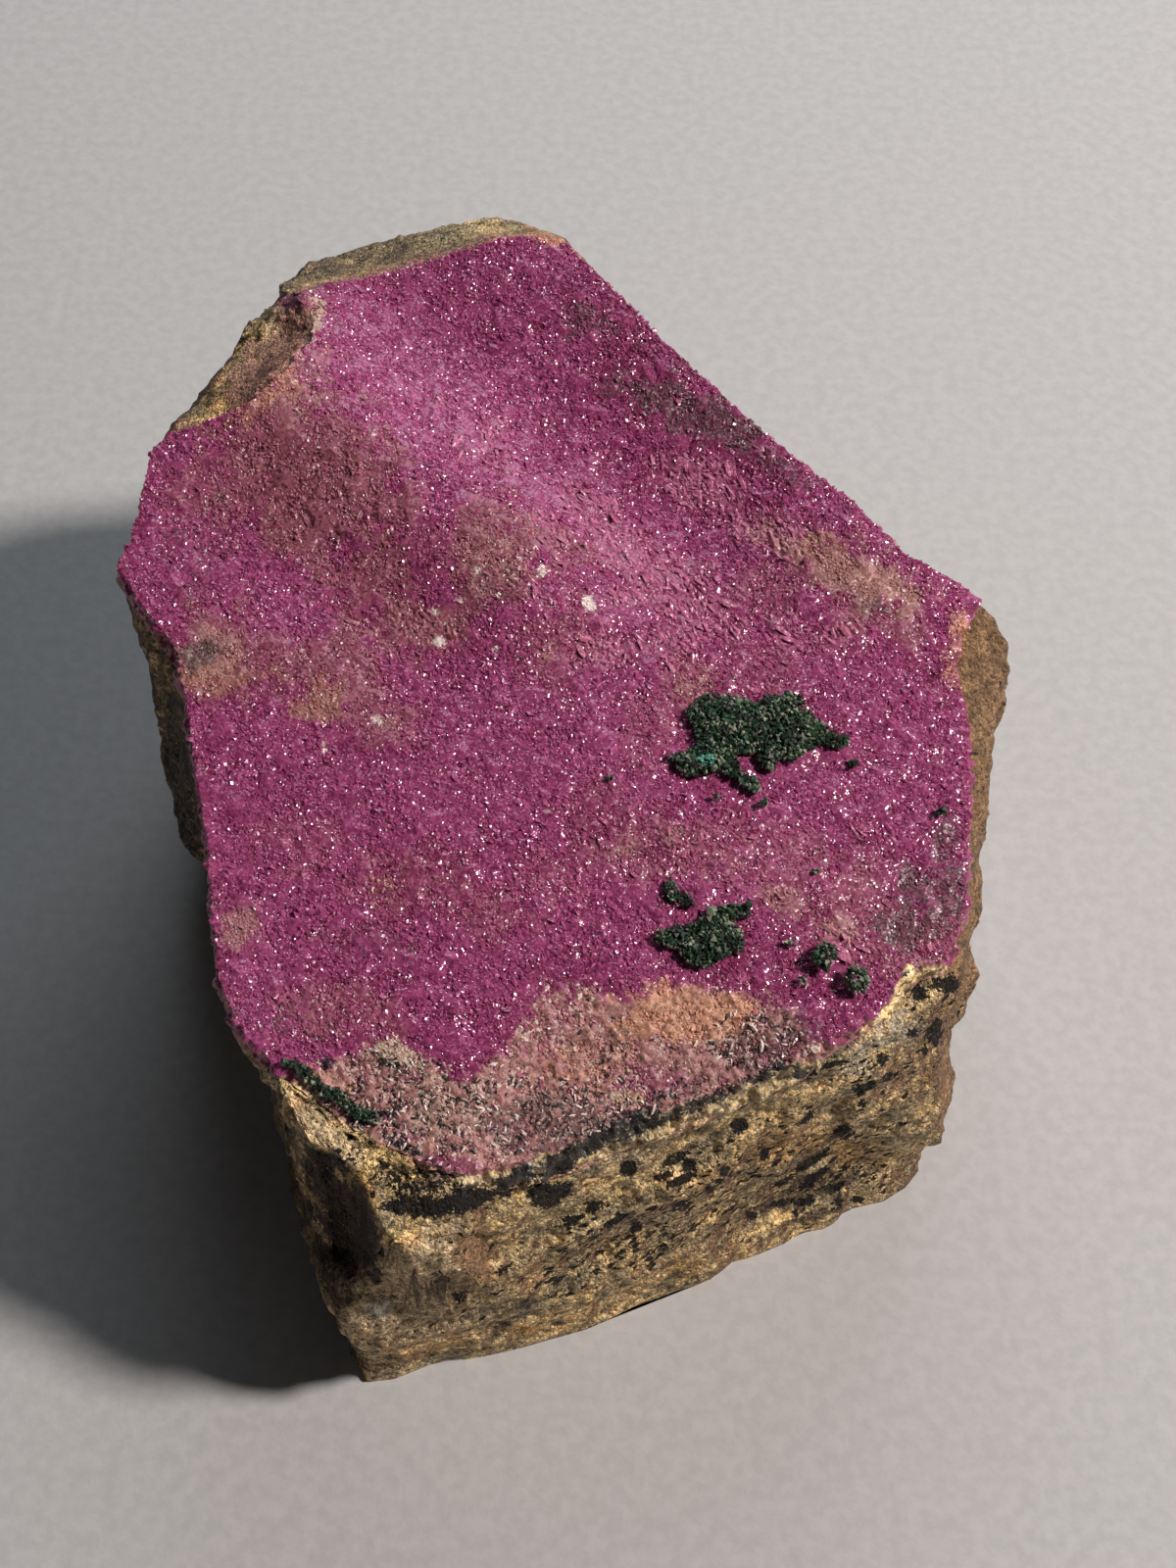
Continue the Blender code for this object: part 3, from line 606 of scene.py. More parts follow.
def scatter(surface, spacing, draw, low, high):
    """Points about that far apart, dropped from above onto a surface: places, normals."""
    rows = int((high[1] - low[1]) / (spacing * ROW_STEP)) + 1
    columns = int((high[0] - low[0]) / spacing) + 1
    above = high[2] + DROP_HEIGHT * MM
    places = []
    normals = []
    for row in range(rows):
        for column in range(columns):
            shift_x, shift_y = draw.uniform(-NET_SHIFT, NET_SHIFT, 2)
            x = low[0] + (column + 0.5 * (row % 2) + shift_x) * spacing
            y = low[1] + (row + shift_y) * spacing * ROW_STEP
            place, normal, _, _ = surface.ray_cast(Vector((x, y, above)), DOWN)
            if place is not None:
                places.append(place)
                normals.append(normal)
    return np.array(places), np.array(normals)


def lean(normals, amount, draw):
    """Each direction tipped over at random by about that many radians."""
    return unit(normals + draw.normal(0.0, amount, normals.shape))


def add_node(tree, kind, inputs=None, **settings):
    """Adds a node. A socket among the inputs is linked to, and anything else is set."""
    node = tree.nodes.new(kind)
    for name, value in settings.items():
        setattr(node, name, value)
    for key, value in (inputs or {}).items():
        if isinstance(value, bpy.types.NodeSocket):
            tree.links.new(value, node.inputs[key])
        else:
            node.inputs[key].default_value = value
    return node


MIX_A = 6                     # the colour sockets of a Mix node
MIX_B = 7
MIX_RESULT = 2


def mix(tree, factor, first, second, way="MIX"):
    node = add_node(tree, "ShaderNodeMix", {0: factor, MIX_A: first, MIX_B: second},
                    data_type="RGBA", blend_type=way)
    return node.outputs[MIX_RESULT]


def maths(operation):
    """A function that adds a Math node of that kind and gives its result."""
    def add(tree, first, second):
        return add_node(tree, "ShaderNodeMath", {0: first, 1: second},
                        operation=operation).outputs[0]
    return add


plus = maths("ADD")
minus = maths("SUBTRACT")
times = maths("MULTIPLY")
larger = maths("MAXIMUM")


def soft_mask(tree, value, low, high):
    node = add_node(tree, "ShaderNodeMapRange",
                    {"Value": value, "From Min": low, "From Max": high},
                    interpolation_type="SMOOTHSTEP")
    return node.outputs["Result"]


def vector_maths(tree, operation, inputs):
    return add_node(tree, "ShaderNodeVectorMath", inputs, operation=operation).outputs[0]


def mark(tree, name):
    return add_node(tree, "ShaderNodeAttribute", attribute_name=name).outputs["Fac"]


def cells_node(tree, vector, scale):
    """Random cells, so many of them along a metre."""
    return add_node(tree, "ShaderNodeTexVoronoi", {"Vector": vector, "Scale": scale}).outputs


def cell_chances(tree, cells):
    """Random numbers, 0 to 1, that each cell has."""
    return add_node(tree, "ShaderNodeSeparateColor", {"Color": cells["Color"]}).outputs


def cloud_node(tree, vector, size, detail=3.0, rough=0.55):
    """Noise with blobs of about that many millimetres."""
    return add_node(tree, "ShaderNodeTexNoise",
                    {"Vector": vector, "Scale": 1.0 / (size * MM), "Detail": detail,
                     "Roughness": rough}).outputs["Fac"]


def opaque(colour):
    return (*colour, 1.0)


def new_group(name, inputs, outputs):
    """A shader node group with its sockets: (name, socket type, default)."""
    group = bpy.data.node_groups.new(name, "ShaderNodeTree")
    for label, kind, default in inputs:
        socket = group.interface.new_socket(label, in_out="INPUT", socket_type=kind)
        if default is not None:
            socket.default_value = default
    for label, kind in outputs:
        group.interface.new_socket(label, in_out="OUTPUT", socket_type=kind)
    return group, group.nodes.new("NodeGroupInput"), group.nodes.new("NodeGroupOutput")


CLOUD_PUSH = 3.0              # how much further than its spread a cloud pushes a mark
GRAIN_TILT = 0.6              # height that one sugary grain may stand above the next
SPECK_WARP = 0.0008           # metres that noise pushes the specks' outlines about
SPECK_SIZE = 0.55             # of a speck whose chance is best, in widths of its cell
SPECK_EDGE = (-0.16, -0.08)


def broken_mask_group():
    """A soft mark that noise breaks up into grains: hard-edged where the edge is narrow."""
    group, given, result = new_group(
        "Broken mask",
        (("Mask", "NodeSocketFloat", 0.0), ("Cloud", "NodeSocketFloat", 0.5),
         ("Spread", "NodeSocketFloat", 0.6), ("Edge", "NodeSocketFloat", 0.3)),
        (("Mask", "NodeSocketFloat"),))
    soft, cloud, spread, edge = (given.outputs[name] for name in ("Mask", "Cloud", "Spread",
                                                                   "Edge"))
    pushed = times(group, minus(group, cloud, 0.5), spread)
    total = plus(group, soft, times(group, pushed, CLOUD_PUSH))
    broken = soft_mask(group, total, minus(group, 0.5, edge), plus(group, 0.5, edge))
    held = times(group, broken, soft_mask(group, soft, 0.0, 0.3))
    group.links.new(held, result.inputs["Mask"])
    return group


def grains_group():
    """Sugary grains: a shade for each grain and the height of its surface."""
    group, given, result = new_group(
        "Sugary grains",
        (("Vector", "NodeSocketVector", None), ("Scale", "NodeSocketFloat", 2500.0)),
        (("Shade", "NodeSocketFloat"), ("Height", "NodeSocketFloat")))
    cells = cells_node(group, given.outputs["Vector"], given.outputs["Scale"])
    chances = cell_chances(group, cells)
    group.links.new(chances["Red"], result.inputs["Shade"])
    height = minus(group, times(group, chances["Green"], GRAIN_TILT), cells["Distance"])
    group.links.new(height, result.inputs["Height"])
    return group


def glitter_group():
    """The surface's normal, tipped another way in each of many tiny cells."""
    group, given, result = new_group(
        "Glitter",
        (("Vector", "NodeSocketVector", None), ("Scale", "NodeSocketFloat", 9000.0),
         ("Amount", "NodeSocketFloat", 0.4)),
        (("Normal", "NodeSocketVector"),))
    cells = cells_node(group, given.outputs["Vector"], given.outputs["Scale"])
    centred = vector_maths(group, "SUBTRACT", {0: cells["Color"], 1: (0.5, 0.5, 0.5)})
    scaled = vector_maths(group, "SCALE", {0: centred, "Scale": given.outputs["Amount"]})
    surface = add_node(group, "ShaderNodeNewGeometry").outputs["Normal"]
    tipped = vector_maths(group, "ADD", {0: surface, 1: scaled})
    group.links.new(vector_maths(group, "NORMALIZE", {0: tipped}), result.inputs["Normal"])
    return group


def specks_group():
    """Black specks. More and larger ones come where the amount is high."""
    group, given, result = new_group(
        "Black specks",
        (("Amount", "NodeSocketFloat", 0.5), ("Vector", "NodeSocketVector", None),
         ("Scale", "NodeSocketFloat", 1000.0)),
        (("Mask", "NodeSocketFloat"),))
    place, scale = given.outputs["Vector"], given.outputs["Scale"]
    warp = add_node(group, "ShaderNodeTexNoise",
                    {"Vector": place, "Scale": scale, "Detail": 2.0}).outputs["Color"]
    push = vector_maths(group, "MULTIPLY", {0: warp, 1: (SPECK_WARP, SPECK_WARP, SPECK_WARP)})
    cells = cells_node(group, vector_maths(group, "ADD", {0: place, 1: push}), scale)
    reach = minus(group, given.outputs["Amount"], cell_chances(group, cells)["Red"])
    edge = minus(group, times(group, reach, SPECK_SIZE), cells["Distance"])
    group.links.new(soft_mask(group, edge, *SPECK_EDGE), result.inputs["Mask"])
    return group


def use_group(tree, group, **inputs):
    return add_node(tree, "ShaderNodeGroup", inputs, node_tree=group).outputs


def shared_group(name):
    """One of the groups that the materials share, made when first asked for."""
    makers = {"Broken mask": broken_mask_group, "Sugary grains": grains_group,
              "Black specks": specks_group, "Dolostone": stone_group,
              "Glitter": glitter_group}
    return bpy.data.node_groups.get(name) or makers[name]()


def start_material(name):
    material = bpy.data.materials.new(name)
    material.use_nodes = True
    tree = material.node_tree
    shader = tree.nodes["Principled BSDF"]
    place = add_node(tree, "ShaderNodeTexCoord").outputs["Object"]
    return material, tree, shader, place


def link_roughness(tree, shader, value, low, high):
    """Roughness that runs from low to high as the value does from 0 to 1."""
    gloss = add_node(tree, "ShaderNodeMapRange", {"Value": value, "To Min": low, "To Max": high})
    tree.links.new(gloss.outputs["Result"], shader.inputs["Roughness"])


def finish_bump(tree, shader, height, strength, distance, normal=None):
    bump = add_node(tree, "ShaderNodeBump", {"Height": height, "Strength": strength,
                                             "Distance": distance})
    if normal is not None:
        tree.links.new(normal, bump.inputs["Normal"])
    tree.links.new(bump.outputs["Normal"], shader.inputs["Normal"])


CLOUD_SIZES = (1.1, 0.62, 0.38)   # millimetres: the clouds that break up the stains

# Stains of the crust, with a painted sheen among them: mark, which cloud breaks it up, spread, edge,
# colour and strength
CRUST_STAINS = (
    # Lighter pink, partly painted sheen, which leaves the crystals glossy
    ("pale", 1, 0.5, 0.35, (0.55, 0.125, 0.295), 0.4),
    ("scruff", 1, 0.9, 0.12, (0.53, 0.17, 0.265), 0.45),
    ("dust", 0, 0.6, 0.45, (0.33, 0.12, 0.10), 0.6),
    ("bare", 1, 0.6, 0.25, (0.50, 0.23, 0.215), 0.75),
    ("salmon", 0, 0.2, 0.3, (0.50, 0.22, 0.20), 1.0),
    ("orange", 0, 0.55, 0.35, (0.76, 0.36, 0.21), 0.75),
    ("rust", 0, 0.55, 0.35, (0.45, 0.20, 0.12), 0.55),
    ("cream", 1, 0.5, 0.25, (0.68, 0.48, 0.35), 0.8),
    ("dusk", 1, 0.7, 0.3, (0.10, 0.06, 0.055), 0.72),
    ("chalk", 2, 0.4, 0.25, (0.90, 0.72, 0.66), 0.95),
    ("black", 2, 1.3, 0.12, (0.012, 0.011, 0.012), 0.97),
)
CRUST_SHADES = (0.6, 1.45)    # how dark and how light a stain's grains may be
CRUST_ROUGHNESS = (0.20, 0.50)   # of its glassy crystals and of its stains
CRUST_GRAINS = 3400.0         # sugary grains along a metre of it
BLOTCH_SIZE = 9.0             # millimetres: its broad lighter and darker blotches
GLITTER_CELLS = 4300.0        # tiny facets along a metre of it
GLITTER_TILT = 0.5            # how far they are tipped
LIGHT_GRAINS = (0.74, 0.80)   # the chances between which the granular layer's grains turn pale
PINK_GRAINS = (0.56, 0.60)    # and those between which they turn pink
PINK_END = (0.76, 0.72)
PALE_GRAIN = (0.80, 0.60, 0.52)
DARK_GRAIN = (0.035, 0.028, 0.032)
DARK_CHANCE = 0.07            # share of the grains that is dark on plain parts of the layer
DARK_SPECKLED = 0.34          # and how much larger it is where the layer is speckled


def tinted(tree, tint, shade, low, high):
    """A colour that is darker and lighter from grain to grain."""
    spread = mix(tree, shade, (low, low, low, 1.0), (high, high, high, 1.0))
    return mix(tree, 1.0, opaque(tint), spread, "MULTIPLY")


def stain_clouds(tree, place):
    return [cloud_node(tree, place, size, 4.0, 0.7) for size in CLOUD_SIZES]


def druse_shades(tree, place, grains, clouds_here):
    """How light the crystals are: for each grain alone, and with soft blotches as well."""
    broad = cloud_node(tree, place, BLOTCH_SIZE, 2.0)
    shade = mix(tree, 0.3, mark(tree, "shade"), grains["Shade"])
    mottle = times(tree, minus(tree, clouds_here[0], 0.5), 1.3)
    pushed = plus(tree, mottle, times(tree, minus(tree, broad, 0.5), 0.6))
    return shade, plus(tree, shade, pushed)


def stained_crust(tree, colour, shade, clouds_here, settings):
    """The crust's colour with its stains, and how matt they make it."""
    chance = mark(tree, "chance")
    loose = times(tree, minus(tree, chance, 0.5), 0.5)
    dull = 0.0
    for stain, cloud, spread, edge, tint, most in CRUST_STAINS:
        strength = mark(tree, stain)
        loosened = plus(tree, strength, times(tree, loose, strength))
        mask = use_group(tree, shared_group("Broken mask"), Mask=loosened,
                         Cloud=clouds_here[cloud], Spread=spread, Edge=edge)["Mask"]
        share = times(tree, mask, most)
        colour = mix(tree, share, colour, tinted(tree, tint, shade, *CRUST_SHADES))
        if stain == "salmon":
            colour = self_coloured_grains(tree, colour, mask, chance, shade, settings)
        if stain != "pale":
            dull = larger(tree, dull, share)
    return colour, dull


def dolomite_material(name, with_rock):
    """Pink dolomite: glassy magenta crystals, and matt where they are stained or granular."""
    if bpy.data.materials.get(name):
        return bpy.data.materials[name]
    settings = bpy.context.scene.specimen_crust
    material, tree, shader, place = start_material(name)
    grains = use_group(tree, shared_group("Sugary grains"), Vector=place, Scale=CRUST_GRAINS)
    clouds_here = stain_clouds(tree, place)
    shade, lightness = druse_shades(tree, place, grains, clouds_here)
    colour = mix(tree, lightness, opaque(settings.deep), opaque(settings.bright))
    colour, dull = stained_crust(tree, colour, shade, clouds_here, settings)
    height = grains["Height"]
    if with_rock:
        stone = use_group(tree, shared_group("Dolostone"), Vector=place)
        rocky = use_group(tree, shared_group("Broken mask"), Mask=mark(tree, "tan"),
                          Cloud=clouds_here[0], Spread=0.15, Edge=0.3)["Mask"]
        colour = mix(tree, rocky, colour, stone["Color"])
        dull = larger(tree, dull, rocky)
        height = mix(tree, rocky, height, stone["Height"])
    tree.links.new(colour, shader.inputs["Base Color"])
    link_roughness(tree, shader, dull, *CRUST_ROUGHNESS)
    shader.inputs["IOR"].default_value = 1.6
    shader.subsurface_method = "BURLEY"
    shader.inputs["Subsurface Weight"].default_value = 0.35
    shader.inputs["Subsurface Radius"].default_value = (1.0, 0.6, 0.8)
    shader.inputs["Subsurface Scale"].default_value = 0.35 * MM
    amount = times(tree, minus(tree, 1.0, mark(tree, "clear")), GLITTER_TILT)
    glitter = use_group(tree, shared_group("Glitter"), Vector=place, Scale=GLITTER_CELLS,
                        Amount=amount)
    finish_bump(tree, shader, height, 0.3, 0.08 * MM, glitter["Normal"])
    return material


def self_coloured_grains(tree, colour, layer, chance, shade, settings):
    """Pale, dark and magenta grains scattered through the granular layer."""
    pale = times(tree, soft_mask(tree, chance, *LIGHT_GRAINS), layer)
    colour = mix(tree, times(tree, pale, 0.85), colour, opaque(PALE_GRAIN))
    pink = times(tree, soft_mask(tree, chance, *PINK_GRAINS), soft_mask(tree, chance, *PINK_END))
    share = times(tree, times(tree, pink, layer), 0.65)
    colour = mix(tree, share, colour, tinted(tree, settings.bright, shade, 0.6, 1.2))
    limit = plus(tree, DARK_CHANCE, times(tree, mark(tree, "specks"), DARK_SPECKLED))
    dark = soft_mask(tree, minus(tree, limit, chance), 0.0, 0.03)
    share = times(tree, times(tree, dark, layer), 0.9)
    return mix(tree, share, colour, opaque(DARK_GRAIN))


# Stains of the rock, as for the crust, with painted shade among them
ROCK_STAINS = (
    ("olive", 0, 0.4, 0.4, (0.19, 0.132, 0.085), 0.85),
    ("orange", 0, 0.5, 0.35, (0.74, 0.39, 0.12), 0.65),
    ("cream", 0, 0.4, 0.25, (0.78, 0.57, 0.34), 0.85),
    # Brownish blotches, and painted shade on the sides turned away from the key lamp
    ("brown", 0, 0.35, 0.4, (0.13, 0.075, 0.045), 0.85),
    ("sunlit", 0, 0.6, 0.4, (0.24, 0.13, 0.068), 0.92),
    ("rosy", 0, 0.6, 0.3, (0.46, 0.21, 0.17), 0.85),
    ("magenta", 1, 0.5, 0.3, (0.40, 0.09, 0.19), 0.8),
    ("quartz", 1, 0.4, 0.3, (0.52, 0.48, 0.40), 0.75),
    # Dark umber skin, and painted shade in the hollows and on the shaded left flank
    ("shadow", 1, 0.35, 0.3, (0.045, 0.028, 0.025), 0.93),
)


# Tints among its beds: the noise that they follow, the values between which they set in, colour
# and strength
ROCK_TINTS = (
    ("beds", 0.54, 0.62, (0.72, 0.49, 0.20), 0.65),
    ("thin", 0.56, 0.68, (0.56, 0.28, 0.16), 0.4),
    ("thin", 0.46, 0.38, (0.28, 0.25, 0.19), 0.5),
    ("beds", 0.42, 0.34, (0.15, 0.10, 0.055), 0.6),
    ("blotches", 0.54, 0.64, (0.80, 0.60, 0.34), 0.5),
    ("blotches", 0.46, 0.36, (0.12, 0.085, 0.05), 0.6),
)
ROCK_DARKEST = (0.07, 0.068, 0.06)    # what its darkest and its lightest grains are tinted by
ROCK_LIGHTEST = (2.95, 2.88, 2.72)
ROCK_GLINT = (0.80, 0.72, 0.58)
ROCK_SHADES = (0.25, 1.8)     # how dark and how light a stain's grains may be
PATCHES_DARK = (0.70, 0.70, 0.72)
PATCHES_LIGHT = (1.28, 1.27, 1.24)
SPECK_BLACK = (0.011, 0.010, 0.011)
SPECKS_MOST = 0.95
SPECK_CELLS = (1400.0, 2600.0)   # along a metre: large and small specks, which lie in the beds
PEPPER_CELLS = 5200.0
ROCK_GRAINS = (2600.0, 6000.0)   # coarse and fine sugary grains along a metre
BEDDING_STRETCH = (2.2, 1.3, 1.0)
BEDDING_AZIMUTH = 20.0        # degrees: the way that the front flank runs
BEDDING_DIP = 21.0            # degrees: how steeply its beds rise to the right


def bedding_turn():
    """The turn of the rock's beds, as a Mapping node takes it."""
    turn = Matrix.Rotation(math.radians(BEDDING_AZIMUTH), 3, "Z")
    dip = Matrix.Rotation(math.radians(-BEDDING_DIP), 3, "Y")
    return (turn @ dip).to_euler()


def stone_tints(tree, noises):
    """The rock's tan and khaki beds, with lighter, rustier and darker ones among them."""
    settings = bpy.context.scene.specimen_rock
    colour = mix(tree, soft_mask(tree, noises["beds"], 0.40, 0.60), opaque(settings.khaki),
                 opaque(settings.tan))
    for kind, low, high, tint, most in ROCK_TINTS:
        share = times(tree, soft_mask(tree, noises[kind], low, high), most)
        colour = mix(tree, share, colour, opaque(tint))
    return colour


def stone_specks(tree, place, bedding, thin, black_cloud):
    """Where the rock is black: its specks, the pepper between them and the bands."""
    group = shared_group("Black specks")
    specks = mark(tree, "specks")
    dense = times(tree, times(tree, specks, soft_mask(tree, thin, 0.30, 0.55)), SPECKS_MOST)
    large, small = (use_group(tree, group, Amount=dense, Vector=bedding, Scale=scale)["Mask"]
                    for scale in SPECK_CELLS)
    pepper = use_group(tree, group, Amount=plus(tree, times(tree, specks, 0.35), 0.22),
                       Vector=place, Scale=PEPPER_CELLS)["Mask"]
    band = use_group(tree, shared_group("Broken mask"), Mask=times(tree, mark(tree, "black"), 1.25),
                     Cloud=black_cloud, Spread=1.3, Edge=0.08)["Mask"]
    return larger(tree, larger(tree, large, small), larger(tree, pepper, band))


def stone_group():
    """The dolostone's colour, and the height of its grains. It reads the rock's marks."""
    tree, given, result = new_group(
        "Dolostone", (("Vector", "NodeSocketVector", None),),
        (("Color", "NodeSocketColor"), ("Height", "NodeSocketFloat"),
         ("Dark", "NodeSocketFloat")))
    place = given.outputs["Vector"]
    clouds_here = stain_clouds(tree, place)
    bedding = add_node(tree, "ShaderNodeMapping",
                       {"Vector": place, "Rotation": bedding_turn(), "Scale": BEDDING_STRETCH},
                       vector_type="TEXTURE").outputs["Vector"]
    grains, fine = (use_group(tree, shared_group("Sugary grains"), Vector=place, Scale=scale)
                    for scale in ROCK_GRAINS)
    thin = cloud_node(tree, bedding, 1.9, 4.0, 0.65)
    colour = stone_tints(tree, {"beds": cloud_node(tree, bedding, 3.5, 5.0, 0.7), "thin": thin,
                                "blotches": clouds_here[0]})
    shade = mix(tree, 0.4, grains["Shade"], fine["Shade"])
    spread = mix(tree, shade, opaque(ROCK_DARKEST), opaque(ROCK_LIGHTEST))
    colour = mix(tree, 1.0, colour, spread, "MULTIPLY")
    glint = soft_mask(tree, fine["Shade"], 0.93, 0.97)
    colour = mix(tree, times(tree, glint, 0.55), colour, opaque(ROCK_GLINT))
    for stain, cloud, spread, edge, tint, most in ROCK_STAINS:
        mask = use_group(tree, shared_group("Broken mask"), Mask=mark(tree, stain),
                         Cloud=clouds_here[cloud], Spread=spread, Edge=edge)["Mask"]
        colour = mix(tree, times(tree, mask, most), colour,
                     tinted(tree, tint, shade, *ROCK_SHADES))
    patchy = mix(tree, soft_mask(tree, thin, 0.36, 0.64), opaque(PATCHES_DARK),
                 opaque(PATCHES_LIGHT))
    colour = mix(tree, 1.0, colour, patchy, "MULTIPLY")
    dark = stone_specks(tree, place, bedding, thin, clouds_here[2])
    colour = mix(tree, times(tree, dark, 0.97), colour, opaque(SPECK_BLACK))
    height = plus(tree, grains["Height"], times(tree, fine["Height"], 0.5))
    rough = plus(tree, height, times(tree, clouds_here[0], 2.5))
    tree.links.new(colour, result.inputs["Color"])
    tree.links.new(rough, result.inputs["Height"])
    tree.links.new(dark, result.inputs["Dark"])
    return tree


def dolostone_material():
    """Speckled tan dolostone with rusty stains, black bands and sugary grains."""
    material, tree, shader, place = start_material("Speckled dolostone")
    stone = use_group(tree, shared_group("Dolostone"), Vector=place)
    tree.links.new(stone["Color"], shader.inputs["Base Color"])
    link_roughness(tree, shader, stone["Dark"], 0.55, 0.8)
    shader.inputs["IOR"].default_value = 1.45
    shader.inputs["Specular IOR Level"].default_value = 0.3
    finish_bump(tree, shader, stone["Height"], 1.0, 0.24 * MM)
    return material


TURQUOISE = (0.16, 0.46, 0.36)


def malachite_material():
    """Dark green malachite of fine grains, some of them weathered pale."""
    settings = bpy.context.scene.specimen_malachite
    material, tree, shader, place = start_material("Malachite")
    shade = mark(tree, "shade")
    colour = mix(tree, soft_mask(tree, shade, 0.3, 0.85), opaque(settings.dark),
                 opaque(settings.green))
    colour = mix(tree, times(tree, mark(tree, "pale"), 0.85), colour,
                 opaque(settings.pale))
    colour = mix(tree, times(tree, mark(tree, "turquoise"), 0.9), colour, opaque(TURQUOISE))
    tree.links.new(colour, shader.inputs["Base Color"])
    shader.inputs["Roughness"].default_value = 0.5
    shader.inputs["IOR"].default_value = 1.65
    shader.inputs["Specular IOR Level"].default_value = 0.3
    finish_bump(tree, shader, cloud_node(tree, place, 0.3), 0.3, 0.05 * MM)
    return material


FIBRES_DARK = (0.94, 0.94, 0.94)
FIBRES_LIGHT = (1.05, 1.05, 1.05)


def floor_material():
    settings = bpy.context.scene.specimen_stage
    material, tree, shader, place = start_material("Pale floor")
    fibres = cloud_node(tree, place, 1.6, 3.0, 0.6)
    tone = mix(tree, soft_mask(tree, fibres, 0.3, 0.7), opaque(FIBRES_DARK),
               opaque(FIBRES_LIGHT))
    colour = mix(tree, 1.0, opaque(settings.floor_colour), tone, "MULTIPLY")
    tree.links.new(colour, shader.inputs["Base Color"])
    shader.inputs["Roughness"].default_value = 0.85
    finish_bump(tree, shader, fibres, 0.25, 0.2 * MM)
    return material


ROCK_MARKS = ("orange", "cream", "black", "specks", "shadow", "quartz", "magenta", "rosy")
SHELF_LINE = 450.0            # pixels: behind this line the rock comes up beside the crust
SHELF_RIGHT = 955.0           # pixels: so it does to the right of this one
SHELF_FRONT = 1000.0          # pixels: but not in front of this one
SHELF_SOFT = (60.0, 20.0)     # pixels over which the rise sets in, downwards and sideways
SHELF_LOWEST = 25.0           # millimetres: only rock above this height rises
SHELF_LIFT = 1.9              # millimetres that it rises next to the crust
SHELF_REACH = 6.0             # and over this distance


def is_covered(crust, place):
    """True below the crust."""
    return crust.ray_cast(place, UP)[0] is not None


def lift_shelves(bm, crust, camera):
    """Brings the rock's shelves up level with the crust beside them."""
    shelf = [vert for vert in bm.verts if vert.normal.z > 0.25
             and vert.co.z > SHELF_LOWEST * MM and not is_covered(crust, vert.co)]
    x, y = camera.pixels(np.array([vert.co for vert in shelf]))
    soft_y, soft_x = SHELF_SOFT
    level = np.maximum(smooth_step(SHELF_LINE - y, 0.0, soft_y),
                       smooth_step(x - SHELF_RIGHT, 0.0, soft_x)
                       * smooth_step(SHELF_FRONT - y, 0.0, soft_y))
    for vert, share in zip(shelf, level):
        away = crust.find_nearest(vert.co)[3] / (SHELF_REACH * MM)
        vert.co.z += SHELF_LIFT * MM * share * max(0.0, 1.0 - away) ** 1.5


# Where the photograph shows the rock fuller or hollower than its solid: place, half width, half
# height and turn as for the marks, then the move in millimetres along X, along Y and towards
# the camera
RELIEF = (
    (335, 1300, 170, 120, 0, 0.0, 0.0, 4.0),
    (325, 1350, 110, 80, 0, 0.0, 0.0, 3.0),
    (352, 1262, 34, 56, -22, 0.0, 0.0, -5.0),
    (306, 1232, 12, 60, -8, 0.0, 0.0, 1.6),
    (262, 318, 34, 34, 0, 1.0, 0.0, 0.0),
    (672, 1345, 90, 50, -15, 0.0, 1.8, 0.0),
    (985, 1060, 36, 80, 0, -1.2, 0.0, 0.0),
    (905, 1130, 75, 70, 0, 0.0, 0.0, 2.5),
    (812, 1222, 80, 26, -22, 0.0, 0.0, -2.2),
    (812, 1268, 60, 30, -10, 0.0, 1.0, 0.0),
    (700, 1210, 120, 26, -22, 0.0, 0.0, 1.2),
    (620, 1275, 110, 22, -20, 0.0, 0.0, -1.2),
)
RELIEF_FREE = (1.0, 6.0)      # millimetres above the floor between which it sets in


def reshape(bm, camera):
    """Moves the rock to where the photograph shows it."""
    places = np.array([vert.co for vert in bm.verts])
    x, y = camera.pixels(places)
    low, high = RELIEF_FREE
    towards = camera.towards(places) * smooth_step(places[:, 2], low * MM, high * MM)[:, None]
    moves = np.zeros_like(places)
    for *patch, move_x, move_y, closer in RELIEF:
        share = smooth_step(1.0 - patch_distance(x, y, patch), 0.0, 1.0)[:, None]
        moves += share * MM * (np.array([move_x, move_y, 0.0]) + towards * closer)
    move_vertices(bm, places + moves)


# The outer line, left to right, of the bevel below the crust's front left edge
BEVEL_LINE = ((270, 1090), (282, 1115), (298, 1150), (318, 1180), (340, 1190), (356, 1200),
              (372, 1225), (386, 1262), (420, 1290))
BEVEL_LEFT = 272.0            # pixels: it begins there
BEVEL_RIGHT = 520.0           # and has died out there
BEVEL_TOP = 1000.0            # pixels: all of it is below this line
BEVEL_STEEPENING = (-20.5, -12.0)   # millimetres along X between which it steepens
BEVEL_SLOPES = (0.3, 1.3)
CLEFT = (278, 332, 84, 62, -50)  # the patch where the rock fills a bay in the crust's edge
CLEFT_SLOPE = 0.7
CLEFT_RISE = 0.55             # millimetres that it stands higher there than at the bevel
CLEFT_DEPTH = 12.0            # millimetres: rock that lies deeper isn't raised there
RAISED_ABOVE = 8.0            # millimetres: lower rock isn't raised
RAISED_LEFT_OF = -4.0         # millimetres along X: nor is rock to the right of this
RAISED_PARTS = (-35.0, 25.0)  # millimetres along Y: it is raised in front of and behind these
EDGE_RISE = 2.0               # millimetres: about as thick as the crust's edge
EDGE_INSET = 0.7              # millimetres in from the edge, where the crust's height is taken
EDGE_DROP = 0.25              # millimetres that the rock stays below it
RIM_REACH = 1.3               # millimetres that it goes on rising underneath
RIM_SUNK = 0.50               # and how far below the surface it stays there


def is_near_rim(crust, place):
    """True below the crust, but near its edge."""
    steps = (Vector((math.cos(turn), math.sin(turn), 0.0)) * RIM_REACH * MM
             for turn in np.arange(8) * math.tau / 8)
    return not all(is_covered(crust, place + step) for step in steps)


